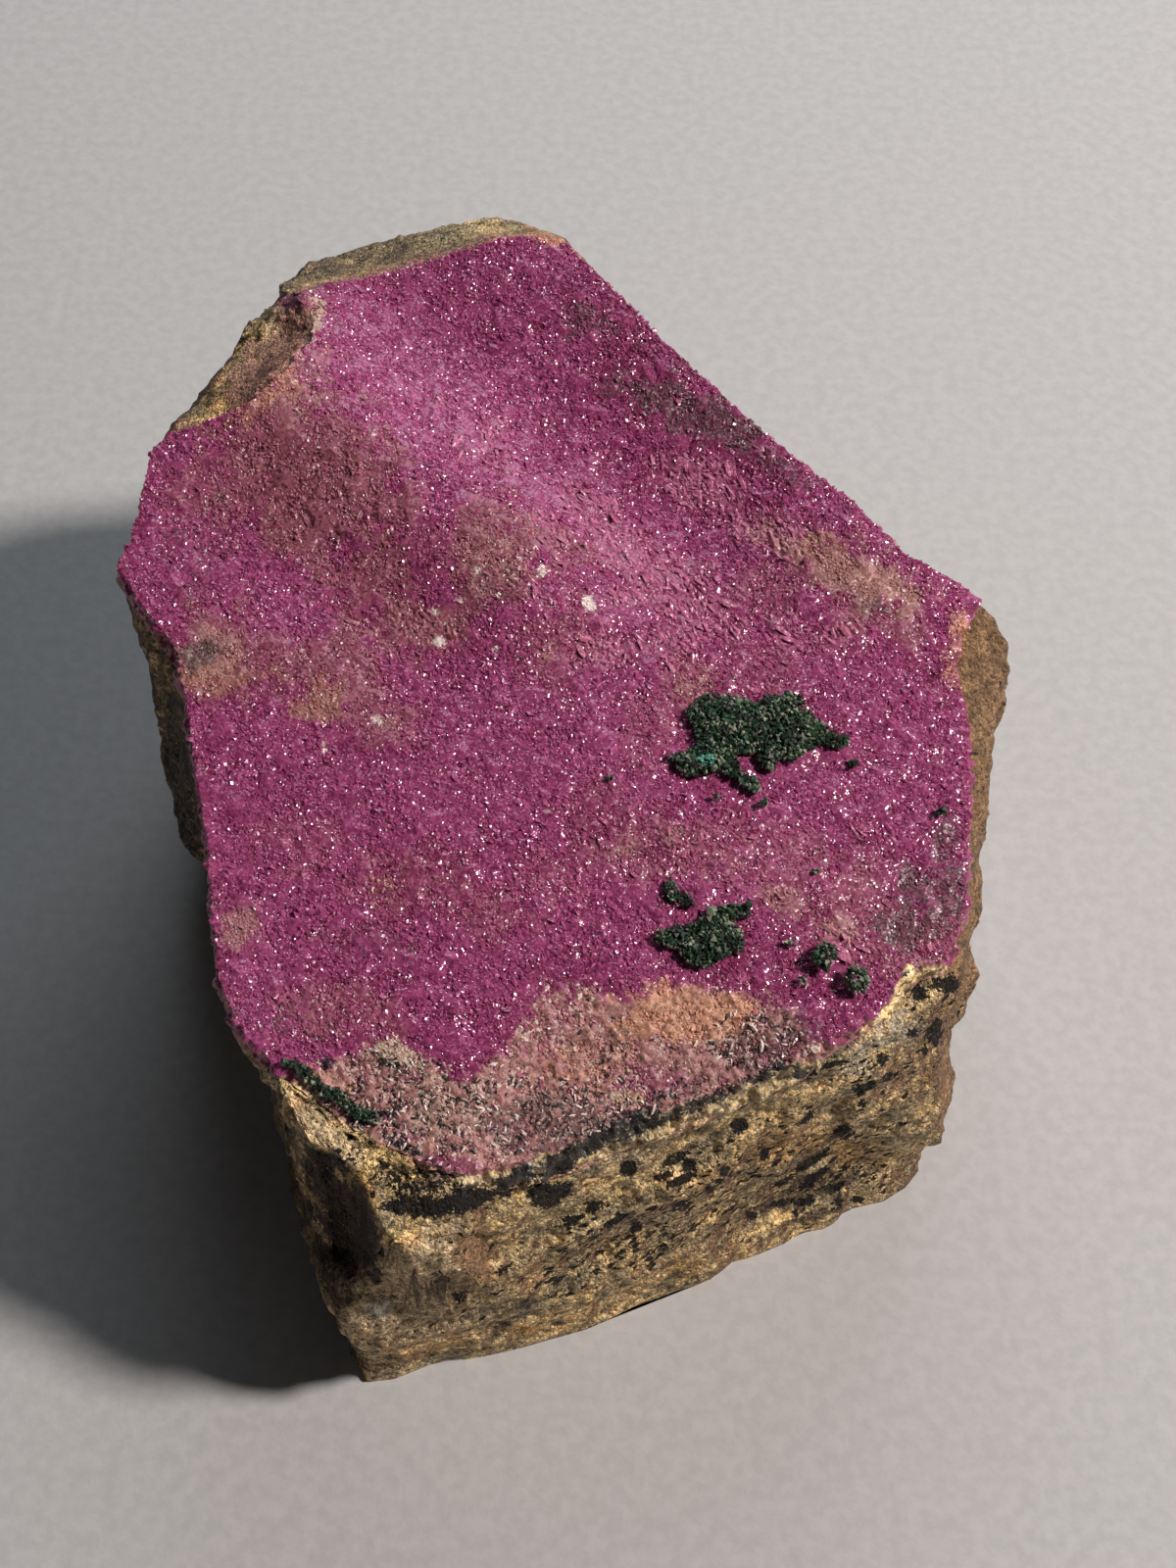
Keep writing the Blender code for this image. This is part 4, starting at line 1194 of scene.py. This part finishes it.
def may_be_raised(crust, vert):
    """True for rock beside the crust's left edge or just below it, at the front and the rear."""
    x, y, z = vert.co / MM
    front, rear = RAISED_PARTS
    return (z > RAISED_ABOVE and vert.normal.z > -0.3 and (y < front or y > rear)
            and x < RAISED_LEFT_OF
            and (not is_covered(crust, vert.co) or is_near_rim(crust, vert.co)))


def ramp_height(crust, ground, place):
    """How high the rock is to stand there: under the crust, or on a slope down from its edge."""
    level = crust.find_nearest(place)[0].z + EDGE_RISE * MM
    above = level + DROP_HEIGHT * MM
    if is_covered(crust, place):
        top = ground.ray_cast(Vector((place.x, place.y, above)), DOWN)[0]
        return (top.z if top is not None else place.z) - RIM_SUNK * MM
    edge = crust.find_nearest(Vector((place.x, place.y, level)))[0]
    inward = Vector((edge.x - place.x, edge.y - place.y, 0.0))
    inset = edge + inward.normalized() * EDGE_INSET * MM
    top = ground.ray_cast(Vector((inset.x, inset.y, above)), DOWN)[0]
    slope = CLEFT_SLOPE
    if place.y < 0.0:
        slope = np.interp(place.x / MM, BEVEL_STEEPENING, BEVEL_SLOPES)
    return (top or edge).z - EDGE_DROP * MM - slope * inward.length


def build_up(bm, crust, ground, camera):
    """Builds the rock up to the crust's edge where the photograph shows no step between them."""
    near = [vert for vert in bm.verts if may_be_raised(crust, vert)]
    ramps = []
    for vert in near:
        height = ramp_height(crust, ground, vert.co)
        if vert.co.y > 0.0:
            height += CLEFT_RISE * MM
        ramps.append((vert.co.x, vert.co.y, height))
    ramps = np.array(ramps)
    x, y = camera.pixels(ramps)
    bevel = (smooth_step(line_height(x, BEVEL_LINE) - y, -2.0, 10.0)
             * smooth_step(x - BEVEL_LEFT, 0.0, 12.0)
             * smooth_step(BEVEL_RIGHT - x, 0.0, 80.0) * (y > BEVEL_TOP))
    cleft = smooth_step(1.0 - patch_distance(x, y, CLEFT), 0.0, 0.4)
    rises = np.maximum(0.0, ramps[:, 2] - np.array([vert.co.z for vert in near]))
    behind = ramps[:, 1] > 0.0
    rises *= np.where(behind, smooth_step(-rises, -CLEFT_DEPTH * MM, 0.0), 1.0)
    for vert, rise, share in zip(near, rises, np.maximum(bevel, cleft)):
        vert.co.z += share * rise


FLANK_SOFTENING = 8           # rounds of smoothing on the solid's flanks
FRONT_SOFTENING = 45          # more of them on the front, which broke flat
LAST_SOFTENING = 4            # and a few once the rock has its photographed form
STRETCHED_FACET = 1.8         # millimetres: longest edge that the reshaping may leave there
UNDERSIDE = 0.3               # millimetres: faces below this are the flat underside
FOOT = 0.8                    # millimetres: points below this stay where the block rests
SUNLIT_FRONT = 1040.0         # pixels: the right shelf is browner down to this line

# Noise that breaks up the rock: its height and the size of its lumps in millimetres, and its seed
COARSE = (0.30, 3.4, 3)
RIBS = (0.22, 1.3, 4)
RIB_STRETCH = np.array([1.0, 1.0, 0.35])
GRAIN = (0.16, 0.9, 5)
FINE_GRAIN = (0.10, 0.45, 13)
KNOBS = (0.20, 1.7, 18)
REAR_BREAKS = (0.9, 8.0, 19)
RIGHT_BREAKS = (0.45, 5.0, 20)
OLIVE_BLOTCHES = (0.5, 9, 6)
BROWN_BLOTCHES = (0.4, 7, 7)


class SPECIMEN_OT_rock(bpy.types.Operator):
    """Roughen the block of dolostone and give it its beds, specks and stains"""

    bl_idname = "specimen.rock"
    bl_label = "Dolostone Block"

    def execute(self, context):
        self.camera = PhotoCamera()
        self.crust = BVHTree.FromBMesh(solid_copy(CRUST))
        bm = solid_copy(ROCK)
        self.form(bm, context.scene.specimen_rock)
        self.roughen(bm)
        places, normals = vertex_arrays(bm)
        mesh = mesh_from(bm, "dolostone_block")
        for name, values in self.find_marks(places, normals).items():
            set_attribute(mesh, name, values)
        mesh.shade_smooth()
        block = link_piece("dolostone_block", mesh, dolostone_material())
        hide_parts(ROCK)
        return {"FINISHED"}

    def is_flank(self, face):
        """True off the underside and the bed under the crust."""
        middle = face.calc_center_median()
        if middle.z < UNDERSIDE * MM:
            return False
        return face.normal.z < 0.9 or not is_covered(self.crust, middle)

    def form(self, bm, settings):
        """Softens the solid's facets and moves the rock to its photographed form."""
        refine(bm, settings.facet, self.is_flank)
        refine(bm, settings.front_facet,
               lambda face: self.is_flank(face) and face.normal.y < -0.35)
        bm.normal_update()
        lift_shelves(bm, self.crust, self.camera)
        off_floor = [vert for vert in bm.verts if vert.co.z > FOOT * MM]
        front = [vert for vert in off_floor if vert.normal.y < -0.45]
        soften(bm, off_floor, FLANK_SOFTENING)
        soften(bm, front, FRONT_SOFTENING)
        reshape(bm, self.camera)
        bm.normal_update()
        build_up(bm, self.crust, crust_ground(), self.camera)
        refine(bm, STRETCHED_FACET * MM,
               lambda face: self.is_flank(face) and face.normal.y < 0.2)
        off_floor = [vert for vert in bm.verts if vert.co.z > FOOT * MM]
        soften(bm, off_floor, LAST_SOFTENING)

    def roughen(self, bm):
        """Breaks the rock's faces up with grain, and with coarser breaks where it is hidden."""
        places, normals = vertex_arrays(bm)
        sideways = smooth_step(np.abs(normals[:, 0]), 0.4, 0.8)
        facing = smooth_step(-normals[:, 1], 0.3, 0.7)
        unseen = smooth_step(normals[:, 1], 0.1, 0.5) * smooth_step(-normals[:, 2], -0.6, -0.3)
        ribs = lumps(places * RIB_STRETCH, *RIBS)
        grain = lumps(places, *GRAIN) + lumps(places, *FINE_GRAIN)
        knobs = lumps(places, *KNOBS) * facing
        broken = lumps(places, *REAR_BREAKS) * unseen
        broken += lumps(places, *RIGHT_BREAKS) * smooth_step(normals[:, 0], 0.4, 0.8)
        height = (lumps(places, *COARSE) * (0.6 + 0.4 * sideways) + ribs * sideways + knobs
                  + grain + broken)
        free = smooth_step(places[:, 2], 0.2 * MM, 2.0 * MM)
        places = places + normals * (height * free * MM)[:, None]
        places[:, 2] = np.maximum(places[:, 2], 0.0)
        move_vertices(bm, places)

    def find_marks(self, places, normals):
        """The strength of each stain of the rock, and of its painted shade, at each of its points."""
        marks = photo_marks(self.camera, places, normals, ROCK_MARKS)
        left = smooth_step(-normals[:, 0], 0.35, 0.7)
        rear = smooth_step(normals[:, 1] + 0.3 * normals[:, 2], 0.2, 0.6)
        right = smooth_step(normals[:, 0], 0.3, 0.7) * smooth_step(-normals[:, 2], -0.9, -0.5)
        turned = 1.0 - 0.7 * smooth_step(-normals[:, 1], 0.5, 0.8)
        olive = 0.75 * rear + lumps(places, *OLIVE_BLOTCHES) * rear
        # Painted shade: faces turned to the left, away from the key lamp, are darkened; noise adds
        # brownish blotches all over
        brown = (0.9 * left + lumps(places, *BROWN_BLOTCHES)) * turned
        x, y = self.camera.pixels(places)
        soft_y, soft_x = SHELF_SOFT
        beside = (smooth_step(x, SHELF_RIGHT, SHELF_RIGHT + soft_x)
                  * smooth_step(SUNLIT_FRONT - y, 0.0, soft_y))
        away = np.array([self.crust.find_nearest(Vector(place))[3] for place in places])
        near = smooth_step(-away, -5.5 * MM, -0.5 * MM)
        behind = smooth_step(-y, -SHELF_LINE, soft_y - SHELF_LINE)
        beside_pink = near * behind * smooth_step(normals[:, 2], 0.2, 0.5)
        marks["rosy"] = np.maximum(marks["rosy"], beside_pink)
        for name, values in (("olive", olive), ("brown", brown),
                             ("sunlit", np.maximum(right, beside))):
            marks[name] = np.clip(values, 0.0, 1.0)
        return marks


SKIN_MARKS = ("pale", "scruff", "bare", "dust", "chalk", "rust", "dusk", "orange", "cream",
              "black", "specks", "shadow", "quartz")
SMOOTHING_ROUNDS = 14
CRUST_FACET = 1.3             # millimetres: longest edge on the crust's skin under crystals
EDGE_FACET = 0.45             # and on its broken edge and its granular layer
SKIRT_REACH = 0.8             # how far the broken edge is drawn out over the rock
SKIRT_DROP = 0.8              # and down
SKIRT_DEPTH = 2.6             # at this depth below the crust's surface
SKIRT_INSET = 0.5             # taken that far in from the edge

# Noise, as for the rock: what pushes the lines between the crust's parts about is in pixels
LEDGE_WANDER = ((9.0, 1.9, 8), (6.0, 0.7, 9))
FOOT_WANDER = ((4.0, 1.2, 14), (3.0, 0.5, 15))
SKIN_LUMPS = ((0.16, 1.6, 10), (0.14, 0.7, 11))
WORN_PATCHES = (0.3, 1.2, 16)


def smooth_crust():
    """The crust without its large crystals: the ground that the real ones grow on."""
    bm = solid_copy(CRUST)
    refine(bm, CRUST_FACET * MM, lambda face: True)
    bm.normal_update()
    upper = [vert for vert in bm.verts if all(face.normal.z > 0.1 for face in vert.link_faces)]
    for _ in range(SMOOTHING_ROUNDS):
        bmesh.ops.smooth_vert(bm, verts=upper, factor=0.5, use_axis_z=True)
    return bm


@lru_cache
def crust_ground():
    """The smooth crust to look things up on, made once."""
    return BVHTree.FromBMesh(smooth_crust())


def draw_out_skirt(bm, ground):
    """Draws the crust's broken edge out and down, so that it meets the rock."""
    bm.normal_update()
    moved = []
    for vert in bm.verts:
        outward = Vector((vert.normal.x, vert.normal.y, 0.0))
        if outward.length < 0.35 or vert.normal.z > 0.75:
            continue
        outward.normalize()
        above = vert.co - outward * SKIRT_INSET * MM + UP * DROP_HEIGHT * MM
        top = ground.ray_cast(above, DOWN)[0]
        depth = top.z - vert.co.z if top is not None else 0.0
        share = min(1.0, max(0.0, depth / (SKIRT_DEPTH * MM)))
        moved.append((vert, outward * SKIRT_REACH * MM * share
                      - UP * SKIRT_DROP * MM * share * share))
    for vert, step in moved:
        vert.co += step


def salmon_share(camera, points, normals, loose=0.0):
    """1 on the granular layer in front of the sparkling crystals, and 0 behind it."""
    x, y = camera.pixels(points)
    wander = sum(lumps(points, *step) for step in LEDGE_WANDER) + loose
    share = smooth_step(y + wander - line_height(x, LEDGE_LINE), -12.0, 16.0)
    return share * (1.0 - photo_marks(camera, points, normals, ["magenta"])["magenta"])


def rock_share(camera, points, normals):
    """1 on the crust's broken edge where the photograph shows rock below the crust."""
    x, y = camera.pixels(points)
    wander = sum(lumps(points, *step) for step in FOOT_WANDER)
    below = smooth_step(y + wander - line_height(x, FOOT_LINE), -3.0, 3.0)
    return below * camera.facing(points, normals)


class SPECIMEN_OT_crust(bpy.types.Operator):
    """Make the pink crust's skin, without its crystals"""

    bl_idname = "specimen.crust"
    bl_label = "Crust Skin"

    def execute(self, context):
        self.camera = PhotoCamera()
        bm = smooth_crust()
        refine(bm, EDGE_FACET * MM, self.is_bare)
        draw_out_skirt(bm, crust_ground())
        places, normals = vertex_arrays(bm)
        upward = np.where(normals[:, 2] < -0.5, 0.0, 1.0)
        steep = smooth_step(-np.abs(normals[:, 2]), -0.8, -0.5)
        rough = sum(lumps(places, *step) for step in SKIN_LUMPS) * (1.0 + 1.2 * steep)
        move_vertices(bm, places + normals * (rough * upward * MM)[:, None])
        places, normals = vertex_arrays(bm)
        mesh = mesh_from(bm, "crust_skin")
        marks = photo_marks(self.camera, places, normals, SKIN_MARKS)
        side = smooth_step(-normals[:, 2], -0.5, 0.0)
        marks["salmon"] = np.maximum(salmon_share(self.camera, places, normals), 0.8 * side)
        marks["tan"] = rock_share(self.camera, places, normals)
        marks["shade"] = np.full(len(places), 0.3)
        marks["chance"] = np.full(len(places), 0.5)
        for name, values in marks.items():
            set_attribute(mesh, name, values)
        mesh.shade_flat()
        material = dolomite_material("Crust skin", with_rock=True)
        skin = link_piece("crust_skin", mesh, material)
        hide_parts(CRUST)
        return {"FINISHED"}

    def is_bare(self, face):
        """True on the broken edge and on the granular layer."""
        if abs(face.normal.z) < 0.6:
            return True
        x, y = self.camera.pixels(np.array([face.calc_center_median()]))
        return face.normal.z > 0.0 and y[0] > line_height(x, LEDGE_LINE)[0] - 10.0


# Pixels of the largest glints on the photograph
GLINTS = ((434, 1040), (305, 1034), (355, 1055), (440, 1069), (525, 1015), (536, 1016),
          (479, 268), (521, 274), (481, 295), (518, 317), (443, 316), (586, 308), (605, 373),
          (536, 441), (407, 320), (415, 359), (472, 390), (605, 371), (577, 411), (557, 430),
          (453, 486), (411, 573), (412, 560), (447, 579), (674, 663), (612, 522), (390, 450))


# The logarithm of a middling size, and its spread, in sizes of a middling crystal
CRYSTAL_SIZES = (0.0, 0.3)
SPLINTER_SIZES = (-0.1, 0.3)
MIRROR_SIZES = (-0.75, 0.35)
LARGEST_CRYSTAL = 2.0
LEAN = 0.30                   # radians that crystals lean over
CRYSTAL_SEAT = -0.2           # middling height of a crystal's centre, in its own sizes
POINT_SEAT = 0.1              # and of a point's
SHADES = (0.45, 0.22)         # middling lightness of a crystal, and its spread
LOOSE_GRAINS = 7.0            # pixels that grains are strewn over the granular layer's edge
SPLINTER_SPACING = 0.34       # millimetres between the places where a splinter may lie
SPLINTER_SHARE = 0.5          # the share of them that has one where the druse is most scuffed
SPLINTER_FORM = (1.9, 0.6, 0.55)
NEEDLE_SHARE = 0.95           # the same share for needles where the layer is most speckled
NEEDLE_FORM = (0.8, 0.26, 0.5)
DARK_NEEDLES = 0.5            # share of the needles that is black
SPLINTER_TREND = (0.58, 0.5)  # radians: the way that most of them lie, and its spread
MIRROR_SPACING = 3.4          # millimetres from one mirroring crystal to the next
MIRROR_SPREAD = 0.05          # radians that they are off
GLINT_SIZE = 0.85             # size of the crystals at the largest glints


class SPECIMEN_OT_crystals(bpy.types.Operator):
    """Grow the druse of small rhombic crystals and the grains of the front layer"""

    bl_idname = "specimen.crystals"
    bl_label = "Druse of Crystals"

    def execute(self, context):
        settings = context.scene.specimen_crust
        self.camera = PhotoCamera()
        self.draw_random = np.random.default_rng(7)
        self.grow(("druse_near", "druse_middle", "druse_far"), crystal_shape(),
                  settings.crystal_spacing, settings.crystal_size, CRYSTAL_SEAT)
        self.grow(("points_near", "points_far"), point_shape(),
                  settings.point_spacing, settings.point_size, POINT_SEAT)
        self.grow_splinters(settings)
        self.grow_mirrors(context, settings)
        return {"FINISHED"}

    def find_places(self, spacing):
        """Places, normals and marks all over the crust's pink and granular upper side."""
        low, high = (np.array(corner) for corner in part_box(CRUST))
        places, normals = scatter(crust_ground(), spacing, self.draw_random, low, high)
        kept = (normals[:, 2] > 0.5) & (rock_share(self.camera, places, normals) < 0.5)
        places, normals = places[kept], normals[kept]
        marks = photo_marks(self.camera, places, normals, SKIN_MARKS)
        loose = self.draw_random.normal(0.0, LOOSE_GRAINS, len(places))
        marks["salmon"] = salmon_share(self.camera, places, normals, loose)
        marks["chance"] = self.draw_random.uniform(0.0, 1.0, len(places))
        marks["shade"] = np.clip(self.draw_random.normal(*SHADES, len(places)), 0.0, 1.0)
        return places, normals, marks

    def plant(self, name, shape, places, axes, spins, sizes, marks):
        """Joins copies of a crystal into one piece that carries their marks."""
        mesh = join_copies(name, shape, places, axes, spins, sizes)
        for key, values in marks.items():
            set_attribute(mesh, key, np.repeat(values, len(shape[0])))
        add_bake_map(mesh)
        link_piece(name, mesh, dolomite_material("Pink dolomite", with_rock=False))

    def grow(self, names, shape, spacing, size, seat):
        """Crystals of one shape all over the crust, in as many pieces as there are names."""
        draw = self.draw_random
        places, normals, marks = self.find_places(spacing)
        count = len(places)
        worn = smooth_step(marks["bare"] + lumps(places, *WORN_PATCHES), 0.45, 0.8)
        edges = size * np.minimum(draw.lognormal(*CRYSTAL_SIZES, count), LARGEST_CRYSTAL)
        edges *= 1.0 - 0.4 * np.maximum(worn, 0.6 * marks["salmon"])
        axes = lean(normals, LEAN, draw)
        spins = draw.uniform(0.0, math.tau, count)
        sizes = edges[:, None] * draw.uniform(0.85, 1.15, (count, 3))
        places = places + normals * (edges * draw.uniform(seat - 0.2, seat + 0.1, count))[:, None]
        order = np.argsort(places[:, 1])
        for name, part in zip(names, np.array_split(order, len(names))):
            self.plant(name, shape, places[part], axes[part], spins[part], sizes[part],
                       {key: values[part] for key, values in marks.items()})

    def grow_splinters(self, settings):
        """Broken slivers where the druse is scuffed, and fine needles on the granular layer."""
        draw = self.draw_random
        places, normals, marks = self.find_places(SPLINTER_SPACING * MM)
        chance = draw.uniform(0.0, 1.0, len(places))
        scuffed = chance < SPLINTER_SHARE * marks["scruff"]
        speckled = chance < NEEDLE_SHARE * marks["specks"] * marks["salmon"]
        kept = scuffed | speckled
        places, normals, speckled = places[kept], normals[kept], speckled[kept]
        count = len(places)
        marks = {key: values[kept] for key, values in marks.items()}
        marks["scruff"] = np.where(speckled, 0.0, 0.85)
        dark = speckled & (draw.uniform(0.0, 1.0, count) < DARK_NEEDLES)
        marks["black"] = np.where(dark, 1.0, 0.0)
        marks["chalk"] = np.where(speckled & ~dark, 0.6, 0.0)
        marks["shade"] = draw.uniform(0.4, 1.0, count)
        edges = settings.crystal_size * draw.lognormal(*SPLINTER_SIZES, count)
        forms = np.where(speckled[:, None], [NEEDLE_FORM], [SPLINTER_FORM])
        spins = draw.normal(*SPLINTER_TREND, count) + np.where(
            speckled, draw.uniform(0.0, math.pi, count), 0.0)
        places = places + normals * (0.18 * edges)[:, None]
        self.plant("splinters", crystal_shape(), places, lean(normals, LEAN, draw), spins,
                   edges[:, None] * forms, marks)

    def grow_mirrors(self, context, settings):
        """Larger flat crystals that are turned so as to mirror the key lamp to the camera."""
        draw = self.draw_random
        places, _, marks = self.find_places(MIRROR_SPACING * MM)
        glassy = marks["salmon"] + marks["bare"] + 0.7 * marks["dust"] < draw.uniform(
            0.0, 1.0, len(places))
        places = places[glassy]
        edges = settings.crystal_size * draw.lognormal(*MIRROR_SIZES, len(places))
        large = [crust_ground().ray_cast(self.camera.eye, self.camera.ray(x, y))[0]
                 for x, y in GLINTS]
        places = np.concatenate([places, np.array(large)])
        edges = np.concatenate([edges, np.full(len(GLINTS), GLINT_SIZE * settings.crystal_size)])
        to_key = unit(np.array(context.scene.specimen_light.key_place) - places)
        halfway = unit(self.camera.towards(places) + to_key)
        count = len(places)
        self.plant("mirror_crystals", tablet_shape(), places + halfway * (0.2 * edges)[:, None],
                   lean(halfway, MIRROR_SPREAD, draw), draw.uniform(0.0, math.tau, count),
                   edges[:, None] * draw.uniform(0.8, 1.2, (count, 3)),
                   {"clear": np.full(count, 1.0), "shade": np.full(count, 0.7),
                    "chance": np.full(count, 0.5)})


GRAIN_SIZES = (0.55, 0.3)     # as for the crystals, in grain spacings
GRAIN_LEAN = 0.8              # radians
GAP_CLOUDS = (1.0, 0.9, 17)   # noise, as for the rock, that leaves small gaps
GAP_BELOW = -1.1
BLOTCHES = (1.0, 1.6, 12)


class SPECIMEN_OT_malachite(bpy.types.Operator):
    """Cover the malachite's patches and specks with their fine grains"""

    bl_idname = "specimen.malachite"
    bl_label = "Malachite"

    def execute(self, context):
        self.draw_random = np.random.default_rng(23)
        self.material = malachite_material()
        for name in MALACHITE_PATCHES:
            self.grow(context, name + "_grains", [name])
        self.grow(context, "malachite_specks", list(MALACHITE_SPECKS))
        return {"FINISHED"}

    def grow(self, context, name, nodes):
        """One piece: grains all over the upper side of these solids."""
        draw = self.draw_random
        spacing = context.scene.specimen_malachite.grain_spacing
        found = []
        for node in nodes:
            low, high = (np.array(corner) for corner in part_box(node))
            solid = BVHTree.FromBMesh(solid_copy(node))
            found.append(scatter(solid, spacing, draw, low, high))
        places, normals = (np.concatenate(parts) for parts in zip(*found))
        kept = lumps(places, *GAP_CLOUDS) > GAP_BELOW
        places, normals = places[kept], normals[kept]
        count = len(places)
        size = spacing * draw.lognormal(*GRAIN_SIZES, count)
        sizes = size[:, None] * draw.uniform(0.7, 1.3, (count, 3))
        places = places + normals * (size * draw.uniform(-0.5, 0.3, count))[:, None]
        shape = grain_shape()
        mesh = join_copies(name, shape, places, lean(normals, GRAIN_LEAN, draw),
                           draw.uniform(0.0, math.tau, count), sizes)
        blotch = lumps(places, *BLOTCHES)
        marks = photo_marks(PhotoCamera(), places, normals, ["turquoise"])
        marks["pale"] = smooth_step(draw.uniform(0.0, 1.0, count) + 0.3 * blotch, 0.76, 0.95)
        marks["shade"] = np.clip(draw.uniform(0.0, 1.0, count) + 0.3 * blotch, 0.0, 1.0)
        for key, values in marks.items():
            set_attribute(mesh, key, np.repeat(values, len(shape[0])))
        add_bake_map(mesh)
        piece = link_piece(name, mesh, self.material)
        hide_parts(*nodes)


class SPECIMEN_OT_stage(bpy.types.Operator):
    """Set out the pale floor, the lights and the photograph's camera"""

    bl_idname = "specimen.stage"
    bl_label = "Stage"

    def execute(self, context):
        self.add_floor(context)
        self.add_lights(context)
        self.add_camera(context)
        context.scene.view_settings.view_transform = "Standard"
        return {"FINISHED"}

    def add_floor(self, context):
        bm = bmesh.new()
        half = context.scene.specimen_stage.floor_size / 2
        bmesh.ops.create_grid(bm, x_segments=2, y_segments=2, size=half)
        mesh = mesh_from(bm, "floor")
        mesh.materials.append(floor_material())
        floor = bpy.data.objects.new("floor", mesh)
        context.scene.collection.objects.link(floor)

    def add_lights(self, context):
        settings = context.scene.specimen_light
        key = bpy.data.lights.new("key", "AREA")
        key.shape = "DISK"
        key.energy = settings.key_power
        key.size = settings.key_size
        key.color = settings.key_colour
        self.hang(context, key, Vector(settings.key_place), Vector())
        fill = bpy.data.lights.new("fill", "AREA")
        fill.energy = settings.fill_strength
        fill.size = settings.fill_size
        fill.color = settings.fill_colour
        self.hang(context, fill, Vector(settings.fill_place), Vector())
        world = bpy.data.worlds.new("room")
        world.use_nodes = True
        background = world.node_tree.nodes["Background"]
        background.inputs["Color"].default_value = opaque(settings.sky_colour)
        background.inputs["Strength"].default_value = settings.sky_strength
        context.scene.world = world

    def hang(self, context, light, place, target):
        """Hangs a light at a place and points it at a target."""
        lamp = bpy.data.objects.new(light.name, light)
        lamp.location = place
        lamp.rotation_euler = (place - target).to_track_quat("Z", "Y").to_euler()
        context.scene.collection.objects.link(lamp)

    def add_camera(self, context):
        view = context.scene.specimen_view
        data = bpy.data.cameras.new("camera")
        data.lens = view.lens
        data.sensor_width = SENSOR
        camera = bpy.data.objects.new("camera", data)
        camera.location = PhotoCamera().eye
        camera.rotation_euler = (math.pi / 2 - view.elevation, 0.0, 0.0)
        context.scene.collection.objects.link(camera)
        context.scene.camera = camera


GROUPS = (SpecimenView, SpecimenLight, SpecimenStage, SpecimenRock, SpecimenCrust,
          SpecimenMalachite)
OPERATORS = (SPECIMEN_OT_rock, SPECIMEN_OT_crust, SPECIMEN_OT_crystals, SPECIMEN_OT_malachite,
             SPECIMEN_OT_stage)
SETTINGS = {"specimen_view": SpecimenView, "specimen_light": SpecimenLight,
            "specimen_stage": SpecimenStage, "specimen_rock": SpecimenRock,
            "specimen_crust": SpecimenCrust, "specimen_malachite": SpecimenMalachite}


class SPECIMEN_PT_panel(bpy.types.Panel):
    """The specimen's settings and the buttons that build its pieces"""

    bl_label = "Cobaltoan Dolomite"
    bl_idname = "SPECIMEN_PT_panel"
    bl_space_type = "VIEW_3D"
    bl_region_type = "UI"
    bl_category = "Specimen"

    def draw(self, context):
        for name, group in SETTINGS.items():
            box = self.layout.box()
            for key in group.__annotations__:
                box.prop(getattr(context.scene, name), key)
        for operator in OPERATORS:
            self.layout.operator(operator.bl_idname)


def register():
    for cls in (*GROUPS, *OPERATORS, SPECIMEN_PT_panel):
        bpy.utils.register_class(cls)
    for name, group in SETTINGS.items():
        setattr(bpy.types.Scene, name, PointerProperty(type=group))


def unregister():
    for name in SETTINGS:
        delattr(bpy.types.Scene, name)
    for cls in reversed((*GROUPS, *OPERATORS, SPECIMEN_PT_panel)):
        bpy.utils.unregister_class(cls)


def main():
    register()
    bpy.ops.specimen.rock()
    bpy.ops.specimen.crust()
    bpy.ops.specimen.crystals()
    bpy.ops.specimen.malachite()
    bpy.ops.specimen.stage()


if __name__ == "__main__":
    main()
